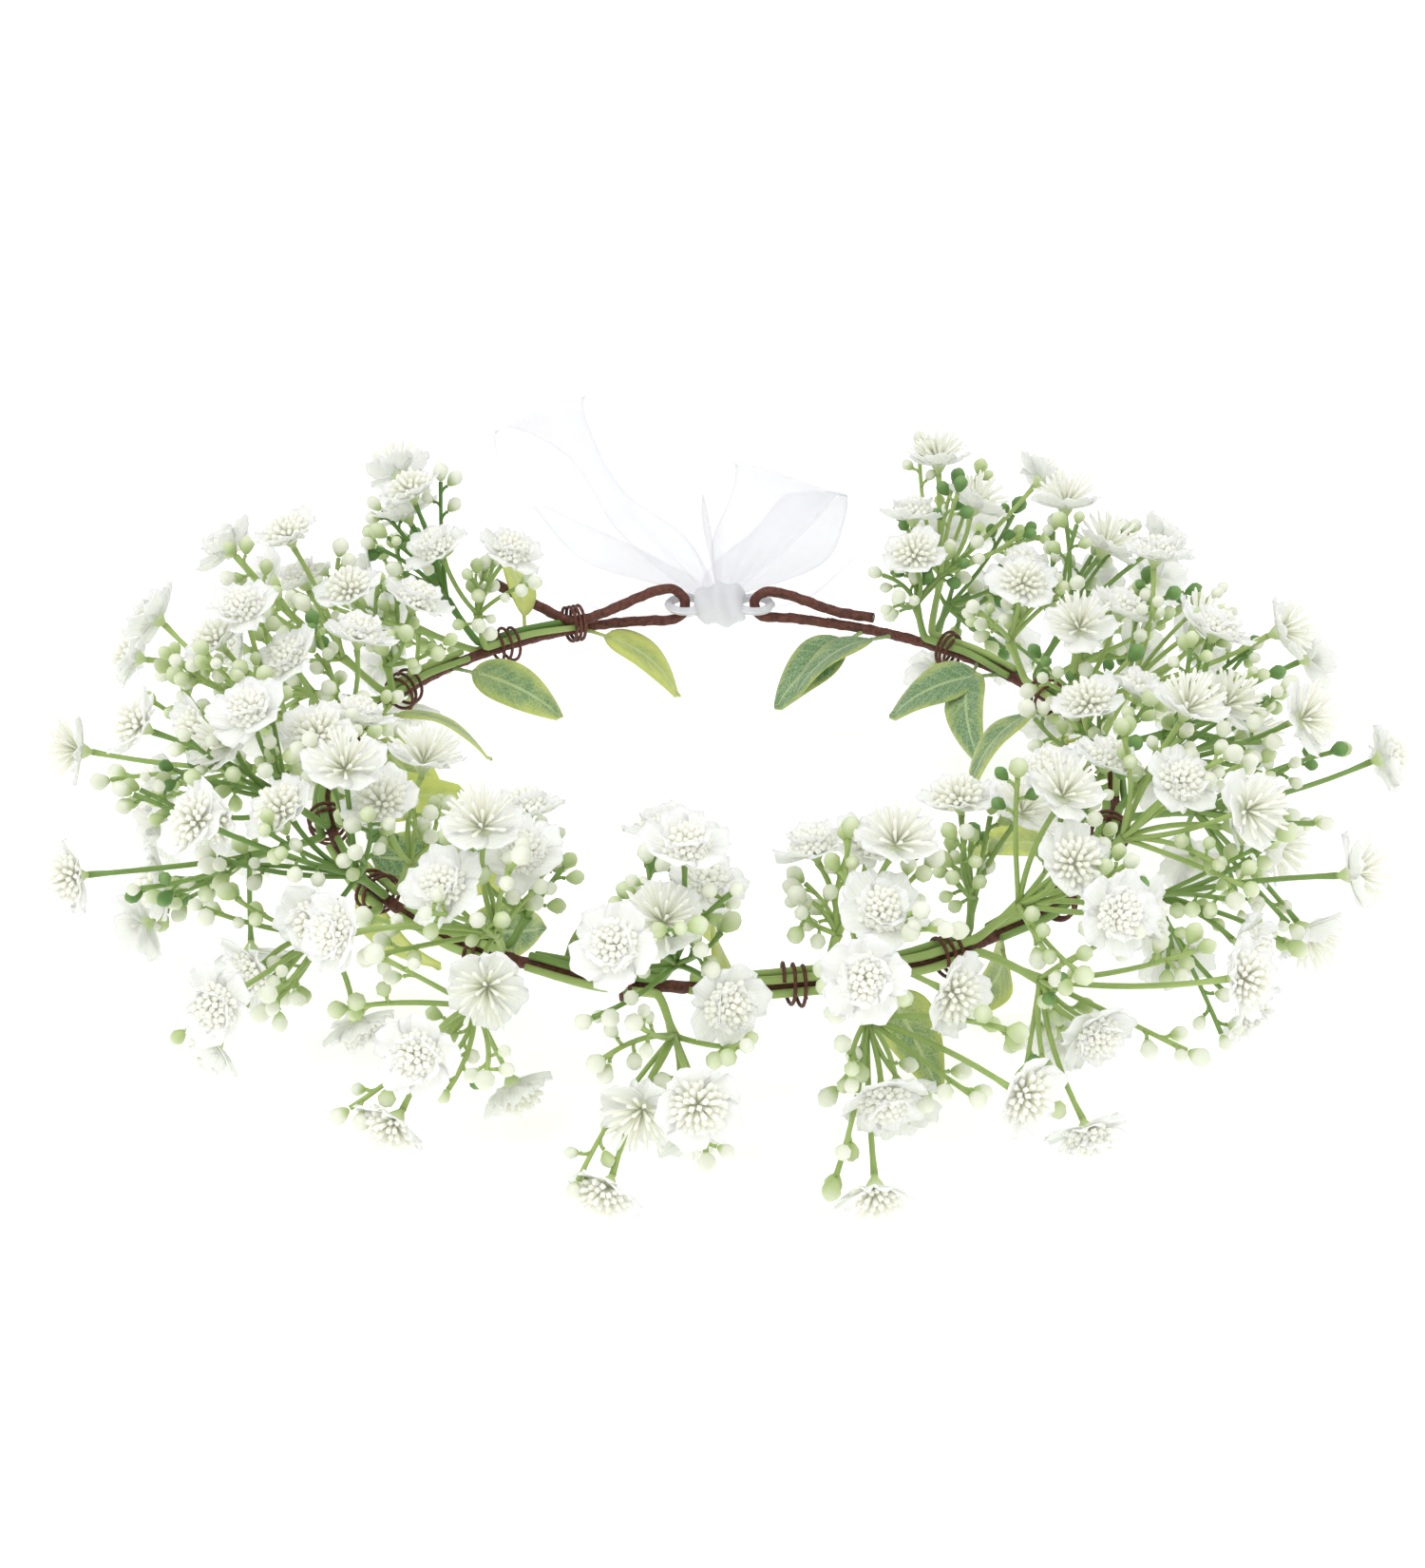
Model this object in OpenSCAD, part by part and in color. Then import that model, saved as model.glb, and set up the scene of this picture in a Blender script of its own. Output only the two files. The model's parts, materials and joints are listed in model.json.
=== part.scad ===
// Flower crown: a tape-wrapped wire ring that ends in two eyes, bunches of moulded
// gypsophila bound round it, leaf picks, and a sheer ribbon tied in a bow through the eyes.
// Millimetres. The origin is the middle of the head opening, at table level.
// +X is the wearer's side, +Y is the back with the bow, +Z is up.

/* [Wire frame] */
// Radius of the wire circle that sits round the head
ring_r = 92; // [90:0.5:94]
// Height of the wire above the table
wire_z = 30.7; // [30.7:0.1:34]
// Radius of the bare steel wire
core_r = 0.7; // [0.5:0.1:0.9]
// Radius over the brown floral tape
tape_r = 1.4; // [1.2:0.1:1.5]
// Radius of the bend at the tip of the left eye
left_eye_r = 4.6; // [4.2:0.1:5]
// Radius of the bend at the tip of the right eye
right_eye_r = 3.7; // [3.4:0.1:4]

/* [Bunches] */
// Angle round the ring of the first bunch, next to the left eye
first_deg = 133; // [132:1:135]
// Angle round the ring of the last bunch, next to the right eye
last_deg = 416; // [414:1:417]
// How far each bunch leans round the ring, from straight outward
lean_deg = 4; // [0:1:6]
// Radius of a main stem
stem_r = 1.0; // [0.8:0.1:1]
// Radius of a twig
twig_r = 0.6; // [0.5:0.05:0.7]
// Radius of a flower across its petals
flower_r = 8.8; // [8:0.1:9]
// Radius of a bud at its widest
bud_r = 2.2; // [1.8:0.1:2.4]

/* [Leaves] */
// Length of a leaf blade
leaf_len = 23; // [18:1:24]
// Width of a leaf blade
leaf_w = 12.5; // [9:0.5:13]
// Thickness of a leaf blade
leaf_t = 0.8; // [0.5:0.1:1]

/* [Ribbon] */
// Width of the ribbon
ribbon_w = 34; // [26:1:36]
// Thickness of the gathered ribbon
ribbon_t = 0.8; // [0.6:0.1:1]
// Length of each tail from the knot, as seen from above
tail_len = 100; // [85:1:105]

/* [Hidden] */
$fn = 48;
BUNCHES = 14;
PICKS = 6;
STEMS = [for (k = [1:BUNCHES]) str("gypsophila_stems_", k)];
PETALS = [for (k = [1:BUNCHES]) str("petal_rosettes_", k)];
HEARTS = [for (k = [1:BUNCHES]) str("stamen_tufts_", k)];
LEAVES = [for (k = [1:PICKS]) str("leaf_pick_", k)];

brown = [0.33, 0.13, 0.09];
steel = [0.55, 0.55, 0.57];
stem_green = [0.48, 0.62, 0.28];
petal_white = [0.96, 0.97, 0.93];
heart_cream = [0.95, 0.95, 0.84];
leaf_green = [0.55, 0.66, 0.30];
ribbon_white = [0.97, 0.97, 1.0];

gap = 0.4;                // least clearance between neighbouring bunches
pitch = (last_deg - first_deg) / (BUNCHES - 1);
left_end = 112;           // angle at which the ring meets the left eye
right_end = 432;          // angle at which the ring meets the right eye
hug = 2.75;               // how far a bound stem's middle is from the wire's middle
binding_r = 0.4;
eye_gap = 9;              // half the distance between the tips of the two eyes
knot_at = [0, 90, wire_z + 4.2];    // middle of the bow's knot, level with both eyes
knot_r = 6;
root_r = 1.2;             // roll at the root of each loop and tail
root_d = knot_r + root_r + 1.2;
flare = 30;               // distance over which the ribbon opens to its full width
petal_r = 0.48 * flower_r;

// --- numbers that look random but are always the same ---
function noise(a, b) = let (x = sin(a * 127.1 + b * 311.7) * 43758.5453) x - floor(x);
function around(mid, half, a, b) = mid + half * (2 * noise(a, b) - 1);

// --- places on the ring ---
function unit(v) = v / norm(v);
function flat_dir(deg) = [cos(deg), sin(deg), 0];
function bunch_deg(k) = first_deg + (k - 1) * pitch;
// A point beside the wire: off millimetres from its middle, at psi round its section.
function by_wire(deg, off, psi) =
    (ring_r + off * cos(psi)) * flat_dir(deg) + [0, 0, wire_z + off * sin(psi)];
// A point in bunch k: a outward along its lean, b across it, h above the wire.
function in_bunch(k, a, b, h) =
    by_wire(bunch_deg(k), 0, 0) + a * flat_dir(bunch_deg(k) + lean_deg)
    + b * flat_dir(bunch_deg(k) + lean_deg + 90) + [0, 0, h];
// Half the width of a bunch's own slice of the ring, at a distance a outward.
function slice(a) = (ring_r + a) * sin(pitch / 2);
// A head in bunch k: angle phi above straight outward, reach from the wire, and a
// share of the slice's width from -1 to 1 that leaves room for a head of radius r.
function head_at(k, phi, reach, share, r) =
    let (a = reach * cos(phi), b = share * (slice(a) - 1.02 * r - gap))
    in_bunch(k, a, b, reach * sin(phi));

// --- bunches: three sprigs each, low, upper and inner ---
SPRIG_PHI = [2, 50, 104];           // the way each sprig points
SPRIG_NODE = [19, 17, 12];          // distance of its branching point from the wire
SPRIG_PSI = [-5, 60, 125];          // where it is bound on the wire's section
// Flowers: sprig, angle, reach, share of the width.
FLOWERS = [[0, -22, 46, -0.55], [0, 9, 57, 0.55], [1, 36, 50, -0.6], [1, 66, 43, 0.5], [2, 106, 28, -0.4]];
TWIGS = [4, 4, 3];                  // twigs with buds on each sprig

function sprig_node(k, j) =
    let (phi = around(SPRIG_PHI[j], 5, k, 10 + j), reach = around(SPRIG_NODE[j], 2, k, 20 + j))
    in_bunch(k, reach * cos(phi), around(0, 2, k, 30 + j), reach * sin(phi));
function flower_point(k, i) =
    let (f = FLOWERS[i])
    head_at(k, around(f[1], 4, k, 40 + i), around(f[2], 3, k, 50 + i), around(f[3], 0.3, k, 60 + i), flower_r);
function flower_dir(k, i) = unit(flower_point(k, i) - sprig_node(k, FLOWERS[i][0]));
function twig_point(k, j, i) =
    let (turn = [-24, 24, -8, 10][i], n = 100 + 10 * j + i)
    head_at(k, around(SPRIG_PHI[j] + turn, 5, k, n), around([45, 42, 26][j], 7, k, n + 50),
        around([-0.9, -0.3, 0.4, 0.9][i], 0.1, k, n + 100), 3 * bud_r);
function side_bud_dir(k, j, i, along) =
    let (up = unit(cross(along, [0.3, 0.2, 1])), turn = 360 * noise(k, 300 + 10 * j + 4 * i))
    unit(along + 1.3 * (cos(turn) * up + sin(turn) * cross(along, up)));

module aim(p, d) {
    translate(p) rotate([0, acos(d.z), atan2(d.y, d.x)]) children();
}

module rod(p, q, r) {
    aim(p, unit(q - p)) rotate([0, 0, 140]) cylinder(r = r, h = norm(q - p));
}

// A stalk from p along d that ends in a round bud.
module budded(p, d, len, r) {
    aim(p, d) rotate([0, 0, 100]) {
        cylinder(r = r, h = len + 2.6);
        translate([0, 0, len + 3.2]) sphere(bud_r);
    }
}

module bud_twig(k, j, i) {
    root = sprig_node(k, j);
    tip = twig_point(k, j, i);
    along = unit(tip - root);
    set = (0.7 + 0.22 * i) * stem_r;
    budded(root + set * along, along, norm(tip - root) - set, twig_r);
    budded(tip - 3 * along, side_bud_dir(k, j, i, along), 2.4, 0.4);
}

module gypsophila_stems(k) {
    color(stem_green) for (j = [0:2]) {
        tied = by_wire(bunch_deg(k) - 9, hug, SPRIG_PSI[j]);
        leaves_wire = by_wire(bunch_deg(k) - 2, hug, SPRIG_PSI[j]);
        fork = sprig_node(k, j);
        rod(tied, leaves_wire, stem_r);
        rod(leaves_wire - 0.7 * unit(fork - leaves_wire), fork, stem_r);
        translate(fork) rotate([0, 0, bunch_deg(k) + lean_deg]) rotate([90, 0, 0])
            rotate([0, 0, SPRIG_PHI[j] + 90]) sphere(2.2 * stem_r);
        for (i = [0:TWIGS[j] - 1]) bud_twig(k, j, i);
        for (i = [0:len(FLOWERS) - 1])
            if (FLOWERS[i][0] == j)
                rod(fork + stem_r * flower_dir(k, i), flower_point(k, i) + 1.5 * flower_dir(k, i), 0.8 * stem_r);
    }
}

module petal_rosettes(k) {
    color(petal_white) for (i = [0:len(FLOWERS) - 1])
        aim(flower_point(k, i), flower_dir(k, i)) {
            cylinder(r1 = 1.2, r2 = 2.6, h = 3);
            for (p = [0:4]) rotate([0, 0, 72 * p])
                translate([flower_r - petal_r, 0, 3.5 + 0.13 * (p * 2 % 5)])
                    rotate([0, -24 - 1.7 * (p * 3 % 5), 0])
                        cylinder(r = petal_r, h = 0.9, center = true);
        }
}

module stamen_tufts(k) {
    color(heart_cream) for (i = [0:len(FLOWERS) - 1])
        aim(flower_point(k, i) + 3 * flower_dir(k, i), flower_dir(k, i)) rotate_extrude()
            polygon([[0, 0], [2.2, 0], [5, 3.2], [5.2, 4.6], [3.6, 6], [0, 6.6]]);
}

// --- leaves: pick, angle round the ring, angle round the wire's section, lean along the
// ring and turn of the blade about its own stalk ---
LEAF_LIST = [
    [1, 112.3, 205, -1.5, 10], [1, 123, 60, -0.3, 60], [1, 138, 186, -0.5, 30],
    [2, 158, 182, -0.6, -15], [2, 162, 205, 0.5, 35], [2, 182, 178, 0.5, 80],
    [3, 203, 182, 0.6, 70], [3, 206, 262, 0.7, 85], [3, 224, 178, -0.5, -60], [3, 228, 196, 0.6, 70],
    [4, 246, 180, 0.5, 80], [4, 268, 178, 0.3, 70], [4, 291, 262, 0.6, -60], [4, 311, 256, 0.5, 60],
    [5, 334, 178, 0.5, 60], [5, 356, 180, 0.6, 30], [5, 361, 192, -0.4, -40], [5, 374, 178, -0.3, 50],
    [6, 386, 190, 0, 20], [6, 399, 184, 0.7, -20], [6, 404, 190, -0.5, 40], [6, 421, 180, 0.9, 10],
    [6, 426, 205, 0.8, -25]];

module leaf_blade() {
    bend = 26;            // radius to which the blade is curled along its length
    translate([0, 0, -bend]) intersection() {
        translate([0, 0, bend - 12]) linear_extrude(14) polygon([
            for (t = [-1:0.1:1]) [leaf_len * (1 + t) / 2, -leaf_edge(t)],
            for (t = [0.9:-0.1:-0.9]) [leaf_len * (1 + t) / 2, leaf_edge(t)]]);
        rotate([90, 0, 0]) difference() {
            cylinder(r = bend, h = 2 * leaf_w, center = true, $fn = 96);
            cylinder(r = bend - leaf_t, h = 3 * leaf_w, center = true, $fn = 96);
        }
    }
}

// Half the width of a blade, from its stalk at -1 to its tip at 1.
function leaf_edge(t) = leaf_w / 2 * pow(max(0, 1 - t * t), 0.7) * (1 - 0.25 * t) + 0.01;

module leaf(deg, psi, lean, turn) {
    start = by_wire(deg, tape_r + 0.05, psi);
    out = unit(by_wire(deg, 2, psi) - by_wire(deg, 1, psi));
    way = unit(out + lean * flat_dir(deg + 90));
    base = start + 5 * way;
    rod(start, base, 0.5);
    aim(base, way) rotate([0, 0, turn]) translate([0, 0, -0.4]) rotate([0, -90, 0]) leaf_blade();
}

module leaf_pick(n) {
    color(leaf_green) for (f = LEAF_LIST) if (f[0] == n) leaf(f[1], f[2], f[3], f[4]);
}

// --- wire frame: a ring open at the back, with an eye at each end ---
SIDES = 8;                // sides of a wire's section
function curve(p, u, v, q, n) = [for (i = [1:n]) let (t = i / n, s = 1 - t)
    s * s * s * p + 3 * s * s * t * (p + u) + 3 * s * t * t * (q - v) + t * t * t * q];
// The middle of an eye's wire: out along the low strand, round the tip in the plane of
// the knot, back along the high strand, over the ring and on to the cut end.
function eye_route(side, deg, eye_r, over, end) =
    let (start = by_wire(deg, 0, 0), bend = [side * (eye_gap + eye_r), knot_at.y, knot_at.z],
        inward = [-side, 0, 0], ring_dir = side * flat_dir(deg + 90), away = unit(end - over))
    concat([start], curve(start, 7 * ring_dir, 7 * inward, bend - [0, 0, eye_r], 7),
        [for (a = [20:20:180]) bend + eye_r * (sin(a) * inward - [0, 0, cos(a)])],
        curve(bend + [0, 0, eye_r], -6 * inward, 7 * away, over, 7), [(over + end) / 2, end]);
LEFT_EYE = eye_route(-1, left_end, left_eye_r, by_wire(116, 3.2, 80), [-59, 95, wire_z + 8]);
RIGHT_EYE = eye_route(1, right_end, right_eye_r, by_wire(69, 3.2, 80), by_wire(64.5, 3.4, 80));
RING = [for (a = [left_end:4:right_end]) by_wire(a, 0, 0)];

function reversed(v) = [for (i = [len(v) - 1:-1:0]) v[i]];
function without_first(v) = [for (i = [1:len(v) - 1]) v[i]];
// The way a route runs at its point i.
function way_at(route, i) = unit(route[min(i + 1, len(route) - 1)] - route[max(i - 1, 0)]);
// A ring of points round a route's point i; up is square to the route near enough.
function section(route, i, r) =
    let (d = way_at(route, i), a = unit(cross(d, [0.31, 0.17, 1])), b = cross(d, a))
    [for (s = [0:SIDES - 1]) route[i] + r * (cos(360 * s / SIDES) * a + sin(360 * s / SIDES) * b)];

// A solid wire along a route.
module wire(route, r) {
    n = len(route);
    polyhedron([for (i = [0:n - 1]) each section(route, i, r)], concat(
        [[for (s = [0:SIDES - 1]) s]],
        [for (i = [0:n - 2], s = [0:SIDES - 1]) let (t = (s + 1) % SIDES)
            [i * SIDES + s, (i + 1) * SIDES + s, (i + 1) * SIDES + t, i * SIDES + t]],
        [[for (s = [SIDES - 1:-1:0]) (n - 1) * SIDES + s]]));
}

module frame_wire()
    color(steel) wire(concat(reversed(RIGHT_EYE), without_first(reversed(RING)), without_first(LEFT_EYE)), core_r);

module ring_tape()
    color(brown) translate([0, 0, wire_z]) rotate([0, 0, left_end])
        rotate_extrude(angle = right_end - left_end, $fn = 180) translate([ring_r, 0]) difference() {
            circle(tape_r);
            circle(core_r + 0.1);
        }

module eye_tape(route)
    color(brown) difference() {
        wire(route, tape_r);
        wire(route, core_r + 0.05);
    }

module left_eye_tape() eye_tape(LEFT_EYE);

module right_eye_tape() eye_tape(RIGHT_EYE);

// One turn of thin wire round the ring, at a distance off from its middle.
module binding_turn(deg, off, tip = 0)
    translate(by_wire(deg, 0, 0)) rotate([0, 0, deg]) rotate([90 + tip, 0, 0])
        rotate_extrude() translate([off, 0]) circle(binding_r, $fn = 24);

module binding_wire()
    color(brown) {
        for (k = [1:BUNCHES], s = [0, 1]) binding_turn(bunch_deg(k) - 7 + 2.4 * s, hug + stem_r + 0.65, 8);
        for (s = [0:2]) translate(by_wire(113.2 + 1.1 * s, 1.5, 80)) rotate([0, 0, 114]) rotate([90, 0, 0])
            rotate_extrude() translate([4.9, 0]) circle(binding_r, $fn = 24);
    }

// --- ribbon: a knot linked through both eyes, two loops and two tails ---
module ribbon_knot()
    color(ribbon_white) translate(knot_at) {
        rotate([0, 90, 0]) rotate_extrude() polygon([[0, -6], [3, -6], [4.6, -4.2], [knot_r, -1],
            [knot_r, 1], [4.6, 4.2], [3, 6], [0, 6]]);
        for (side = [-1, 1]) translate([side * eye_gap, 0, 0])
            rotate_extrude() translate([4.3, 0]) circle(1.15);
    }

// The root of a ribbon piece: out from the knot at azimuth az, rising at pitch.
module from_knot(az, pitch)
    translate(knot_at) rotate([0, -pitch, az]) translate([root_d, 0, 0]) children();

// Where the ribbon opens out from its gathers to its full width.
module gathers(len)
    linear_extrude(120, center = true) polygon([[-2, -2.6], [0, -2.6], [flare, -ribbon_w / 2],
        [len + 5, -ribbon_w / 2], [len + 5, ribbon_w / 2], [flare, ribbon_w / 2], [0, 2.6], [-2, 2.6]]);

module root_roll()
    rotate([90, 0, 0]) cylinder(r = root_r, h = 5.2, center = true);

// A closed loop seen edge-on: a teardrop of a length and an opening.
function loop_side(t, len, open) = [len * (1 - cos(t)) / 2, open / 2 * sin(t) * pow(sin(t / 2), 0.8)];

module ribbon_loop(az, pitch, len, open)
    color(ribbon_white) from_knot(az, pitch) {
        root_roll();
        intersection() {
            rotate([90, 0, 0]) linear_extrude(ribbon_w, center = true) difference() {
                polygon([for (t = [0:8:352]) let (p = loop_side(min(t, 360 - t), len, open))
                    [p.x, t > 180 ? -p.y : p.y]]);
                polygon([for (t = [0:8:352]) let (p = loop_side(min(t, 360 - t), len - 2 * ribbon_t - 5, open - 2 * ribbon_t))
                    [p.x + ribbon_t + 4, t > 180 ? -p.y : p.y]]);
            }
            gathers(len);
        }
    }

function tail_drop(t) = -0.47 * t * exp(-t / 18) - 0.05 * t + 1.5 * sin(5 * t) * min(1, t / 30);

module ribbon_tail(az, len, cut)
    color(ribbon_white) from_knot(az, -25) rotate([0, -25, 0]) {
        root_roll();
        intersection() {
            rotate([90, 0, 0]) linear_extrude(ribbon_w, center = true) polygon(concat(
                [for (t = [0:4:len]) [t, tail_drop(t) + ribbon_t / 2]],
                [for (t = [len:-4:0]) [t, tail_drop(t) - ribbon_t / 2]]));
            gathers(len);
            linear_extrude(120, center = true)
                polygon([[-2, -20], [len - cut, -20], [len + cut, 20], [-2, 20]]);
        }
    }

frame_wire();
ring_tape();
left_eye_tape();
right_eye_tape();
binding_wire();
for (k = [1:BUNCHES]) {
    gypsophila_stems(k);
    petal_rosettes(k);
    stamen_tufts(k);
}
for (n = [1:PICKS])
    leaf_pick(n);
ribbon_knot();
ribbon_loop(139, 30, 66, 28);  // ribbon_left_loop
ribbon_loop(62, 26, 38, 18);  // ribbon_right_loop
ribbon_tail(130, tail_len, 8);  // ribbon_left_tail
ribbon_tail(68, tail_len - 8, -7);  // ribbon_right_tail
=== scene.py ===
"""Flower crown: gypsophila bunches bound to a taped wire ring, tied at the back with an organza bow.

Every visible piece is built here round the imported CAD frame. Lengths in the rule below are millimetres,
and every mesh is written in metres.
"""

import json
import logging
import math
from dataclasses import dataclass, field
from enum import Enum
from typing import Callable, Iterable, Optional, Sequence

import bmesh
import bpy
import numpy as np
from mathutils import Matrix, Vector

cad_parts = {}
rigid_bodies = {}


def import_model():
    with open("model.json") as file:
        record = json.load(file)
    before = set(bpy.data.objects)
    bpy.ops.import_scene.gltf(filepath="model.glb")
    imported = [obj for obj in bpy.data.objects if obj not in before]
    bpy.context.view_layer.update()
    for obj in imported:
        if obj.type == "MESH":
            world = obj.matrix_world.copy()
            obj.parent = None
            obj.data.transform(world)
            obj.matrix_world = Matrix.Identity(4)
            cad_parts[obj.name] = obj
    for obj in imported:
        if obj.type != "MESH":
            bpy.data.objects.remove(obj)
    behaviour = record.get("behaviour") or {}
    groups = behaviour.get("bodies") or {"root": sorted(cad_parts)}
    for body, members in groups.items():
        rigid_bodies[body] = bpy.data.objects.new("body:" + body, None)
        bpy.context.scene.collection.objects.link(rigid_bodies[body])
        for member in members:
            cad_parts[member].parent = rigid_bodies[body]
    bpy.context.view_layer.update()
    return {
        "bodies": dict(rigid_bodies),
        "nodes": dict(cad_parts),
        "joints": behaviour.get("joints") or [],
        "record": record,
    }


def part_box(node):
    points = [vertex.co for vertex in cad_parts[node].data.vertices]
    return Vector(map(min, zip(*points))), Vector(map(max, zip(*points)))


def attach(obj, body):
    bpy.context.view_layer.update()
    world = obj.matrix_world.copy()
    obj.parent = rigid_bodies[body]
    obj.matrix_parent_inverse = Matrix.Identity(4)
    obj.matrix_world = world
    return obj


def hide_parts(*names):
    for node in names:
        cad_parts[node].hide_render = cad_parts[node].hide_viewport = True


log = logging.getLogger("flower_crown")
MM = 0.001
Array = np.ndarray
Socket = bpy.types.NodeSocket


# ----------------------------------------------------------------------------- places


def vec(*v: float) -> Array:
    """A point or direction as an array."""
    return np.array(v, float)


def unit(v: Array) -> Array:
    """The direction of v, with length 1."""
    return v / max(float(np.linalg.norm(v)), 1e-9)


def flat_dir(deg: float) -> Array:
    """The level direction at an angle from +X."""
    return vec(math.cos(math.radians(deg)), math.sin(math.radians(deg)), 0)


def noise(a: float, b: float) -> float:
    """A number from 0 to 1 that looks random but is always the same for a and b."""
    x = math.sin(math.radians(a * 127.1 + b * 311.7)) * 43758.5453
    return x - math.floor(x)


def around(mid: float, half: float, a: float, b: float) -> float:
    """A steady pick from mid - half to mid + half."""
    return mid + half * (2 * noise(a, b) - 1)


@dataclass(frozen=True)
class CrownRule:
    """How the crown is laid out: the same rule as the CAD's, so each piece covers its node."""

    ring_r: float = 92.0
    wire_z: float = 30.7
    tape_r: float = 1.4
    left_eye_r: float = 4.6
    right_eye_r: float = 3.7
    first_deg: float = 133.0
    last_deg: float = 416.0
    lean_deg: float = 4.0
    stem_r: float = 1.0
    flower_r: float = 8.8
    bud_r: float = 2.2
    leaf_len: float = 23.0
    leaf_w: float = 12.5
    ribbon_w: float = 34.0
    tail_len: float = 100.0
    bunches: int = 14
    picks: int = 6
    gap: float = 0.4
    left_end: float = 112.0
    right_end: float = 432.0
    hug: float = 2.75
    eye_gap: float = 9.0
    sprig_phi: tuple[float, ...] = (2, 50, 104)
    sprig_node_reach: tuple[float, ...] = (19, 17, 12)
    sprig_psi: tuple[float, ...] = (-5, 60, 125)
    twigs: tuple[int, ...] = (4, 4, 3)
    flowers: tuple[tuple[float, ...], ...] = (
        (0, -22, 46, -0.55),
        (0, 9, 57, 0.55),
        (1, 36, 50, -0.6),
        (1, 66, 43, 0.5),
        (2, 106, 28, -0.4),
        (1, 28, 33, 0.75),
        (0, -5, 35, -0.25),
        (2, 82, 28, 0.6),
        (1, 52, 36, -0.15),
        (0, -38, 27, 0.55),
    )
    fill_twigs: tuple[tuple[float, ...], ...] = (
        (0, -10, 33, 0.1),
        (0, 14, 40, -0.75),
        (1, 36, 36, -0.85),
        (1, 60, 31, 0.85),
        (2, 88, 25, -0.75),
        (2, 118, 20, 0.75),
        (0, -26, 30, -0.7),
        (1, 44, 47, 0.2),
    )

    @property
    def pitch(self) -> float:
        """Angle round the ring from one bunch to the next."""
        return (self.last_deg - self.first_deg) / (self.bunches - 1)

    @property
    def knot_at(self) -> Array:
        """The middle of the bow's knot."""
        return vec(0, 90, self.wire_z + 4.2)

    def bunch_deg(self, k: int) -> float:
        """Angle round the ring of bunch k."""
        return self.first_deg + (k - 1) * self.pitch

    def by_wire(self, deg: float, off: float, psi: float) -> Array:
        """A point beside the wire.

        Args:
            deg: Angle round the ring.
            off: Distance from the wire's middle.
            psi: Angle round the wire's section, from straight outward.

        Returns:
            The point, in millimetres.
        """
        p = math.radians(psi)
        return (self.ring_r + off * math.cos(p)) * flat_dir(deg) + vec(0, 0, self.wire_z + off * math.sin(p))

    def in_bunch(self, k: int, a: float, b: float, h: float) -> Array:
        """A point in bunch k: a outward along its lean, b across it and h above the wire."""
        deg = self.bunch_deg(k) + self.lean_deg
        wire = self.by_wire(self.bunch_deg(k), 0, 0)
        return wire + a * flat_dir(deg) + b * flat_dir(deg + 90) + vec(0, 0, h)

    def head_at(self, k: int, phi: float, reach: float, share: float, r: float) -> Array:
        """Where a head of radius r sits inside its bunch's own slice of the ring."""
        a = reach * math.cos(math.radians(phi))
        half = (self.ring_r + a) * math.sin(math.radians(self.pitch / 2))
        b = share * (half - 1.02 * r - self.gap)
        return self.in_bunch(k, a, b, reach * math.sin(math.radians(phi)))

    def fork(self, k: int, j: int) -> Array:
        """The branching point of sprig j."""
        phi = math.radians(around(self.sprig_phi[j], 5, k, 10 + j))
        reach = around(self.sprig_node_reach[j], 2, k, 20 + j)
        return self.in_bunch(k, reach * math.cos(phi), around(0, 2, k, 30 + j), reach * math.sin(phi))

    def flower_point(self, k: int, i: int) -> Array:
        """The back of flower i."""
        f = self.flowers[i]
        drift = 0.3 if i < 5 else 0.14
        phi, reach = around(f[1], 4, k, 40 + i), around(f[2], 3, k, 50 + i)
        return self.head_at(k, phi, reach, around(f[3], drift, k, 60 + i), self.flower_r)

    def flower_dir(self, k: int, i: int) -> Array:
        """The way flower i faces."""
        return unit(self.flower_point(k, i) - self.fork(k, int(self.flowers[i][0])))

    def twig_point(self, k: int, j: int, i: int) -> Array:
        """The tip of twig i on sprig j."""
        n = 100 + 10 * j + i
        turn = (-24, 24, -8, 10)[i]
        return self.head_at(
            k,
            around(self.sprig_phi[j] + turn, 5, k, n),
            around((45, 42, 26)[j], 7, k, n + 50),
            around((-0.9, -0.3, 0.4, 0.9)[i], 0.1, k, n + 100),
            3 * self.bud_r,
        )

    def fill_twig_point(self, k: int, n: int) -> Array:
        """The tip of short twig n, which fills bunch k near the ring."""
        _, phi, reach, share = self.fill_twigs[n]
        return self.head_at(
            k,
            around(phi, 7, k, 1000 + n),
            around(reach, 5, k, 1020 + n),
            around(share, 0.12, k, 1040 + n),
            3 * self.bud_r,
        )

    def side_bud_dir(self, k: int, j: int, i: int, s: int, along: Array) -> Array:
        """The way side bud s leaves its twig."""
        up = unit(np.cross(along, vec(0.3, 0.2, 1)))
        turn = math.radians(360 * noise(k, 300 + 10 * j + 4 * i) + 180 * s + 20 * s * noise(k, 310 + i))
        return unit(along + 1.3 * (math.cos(turn) * up + math.sin(turn) * np.cross(along, up)))


RULE = CrownRule()


# ----------------------------------------------------------------------------- shapes


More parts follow.
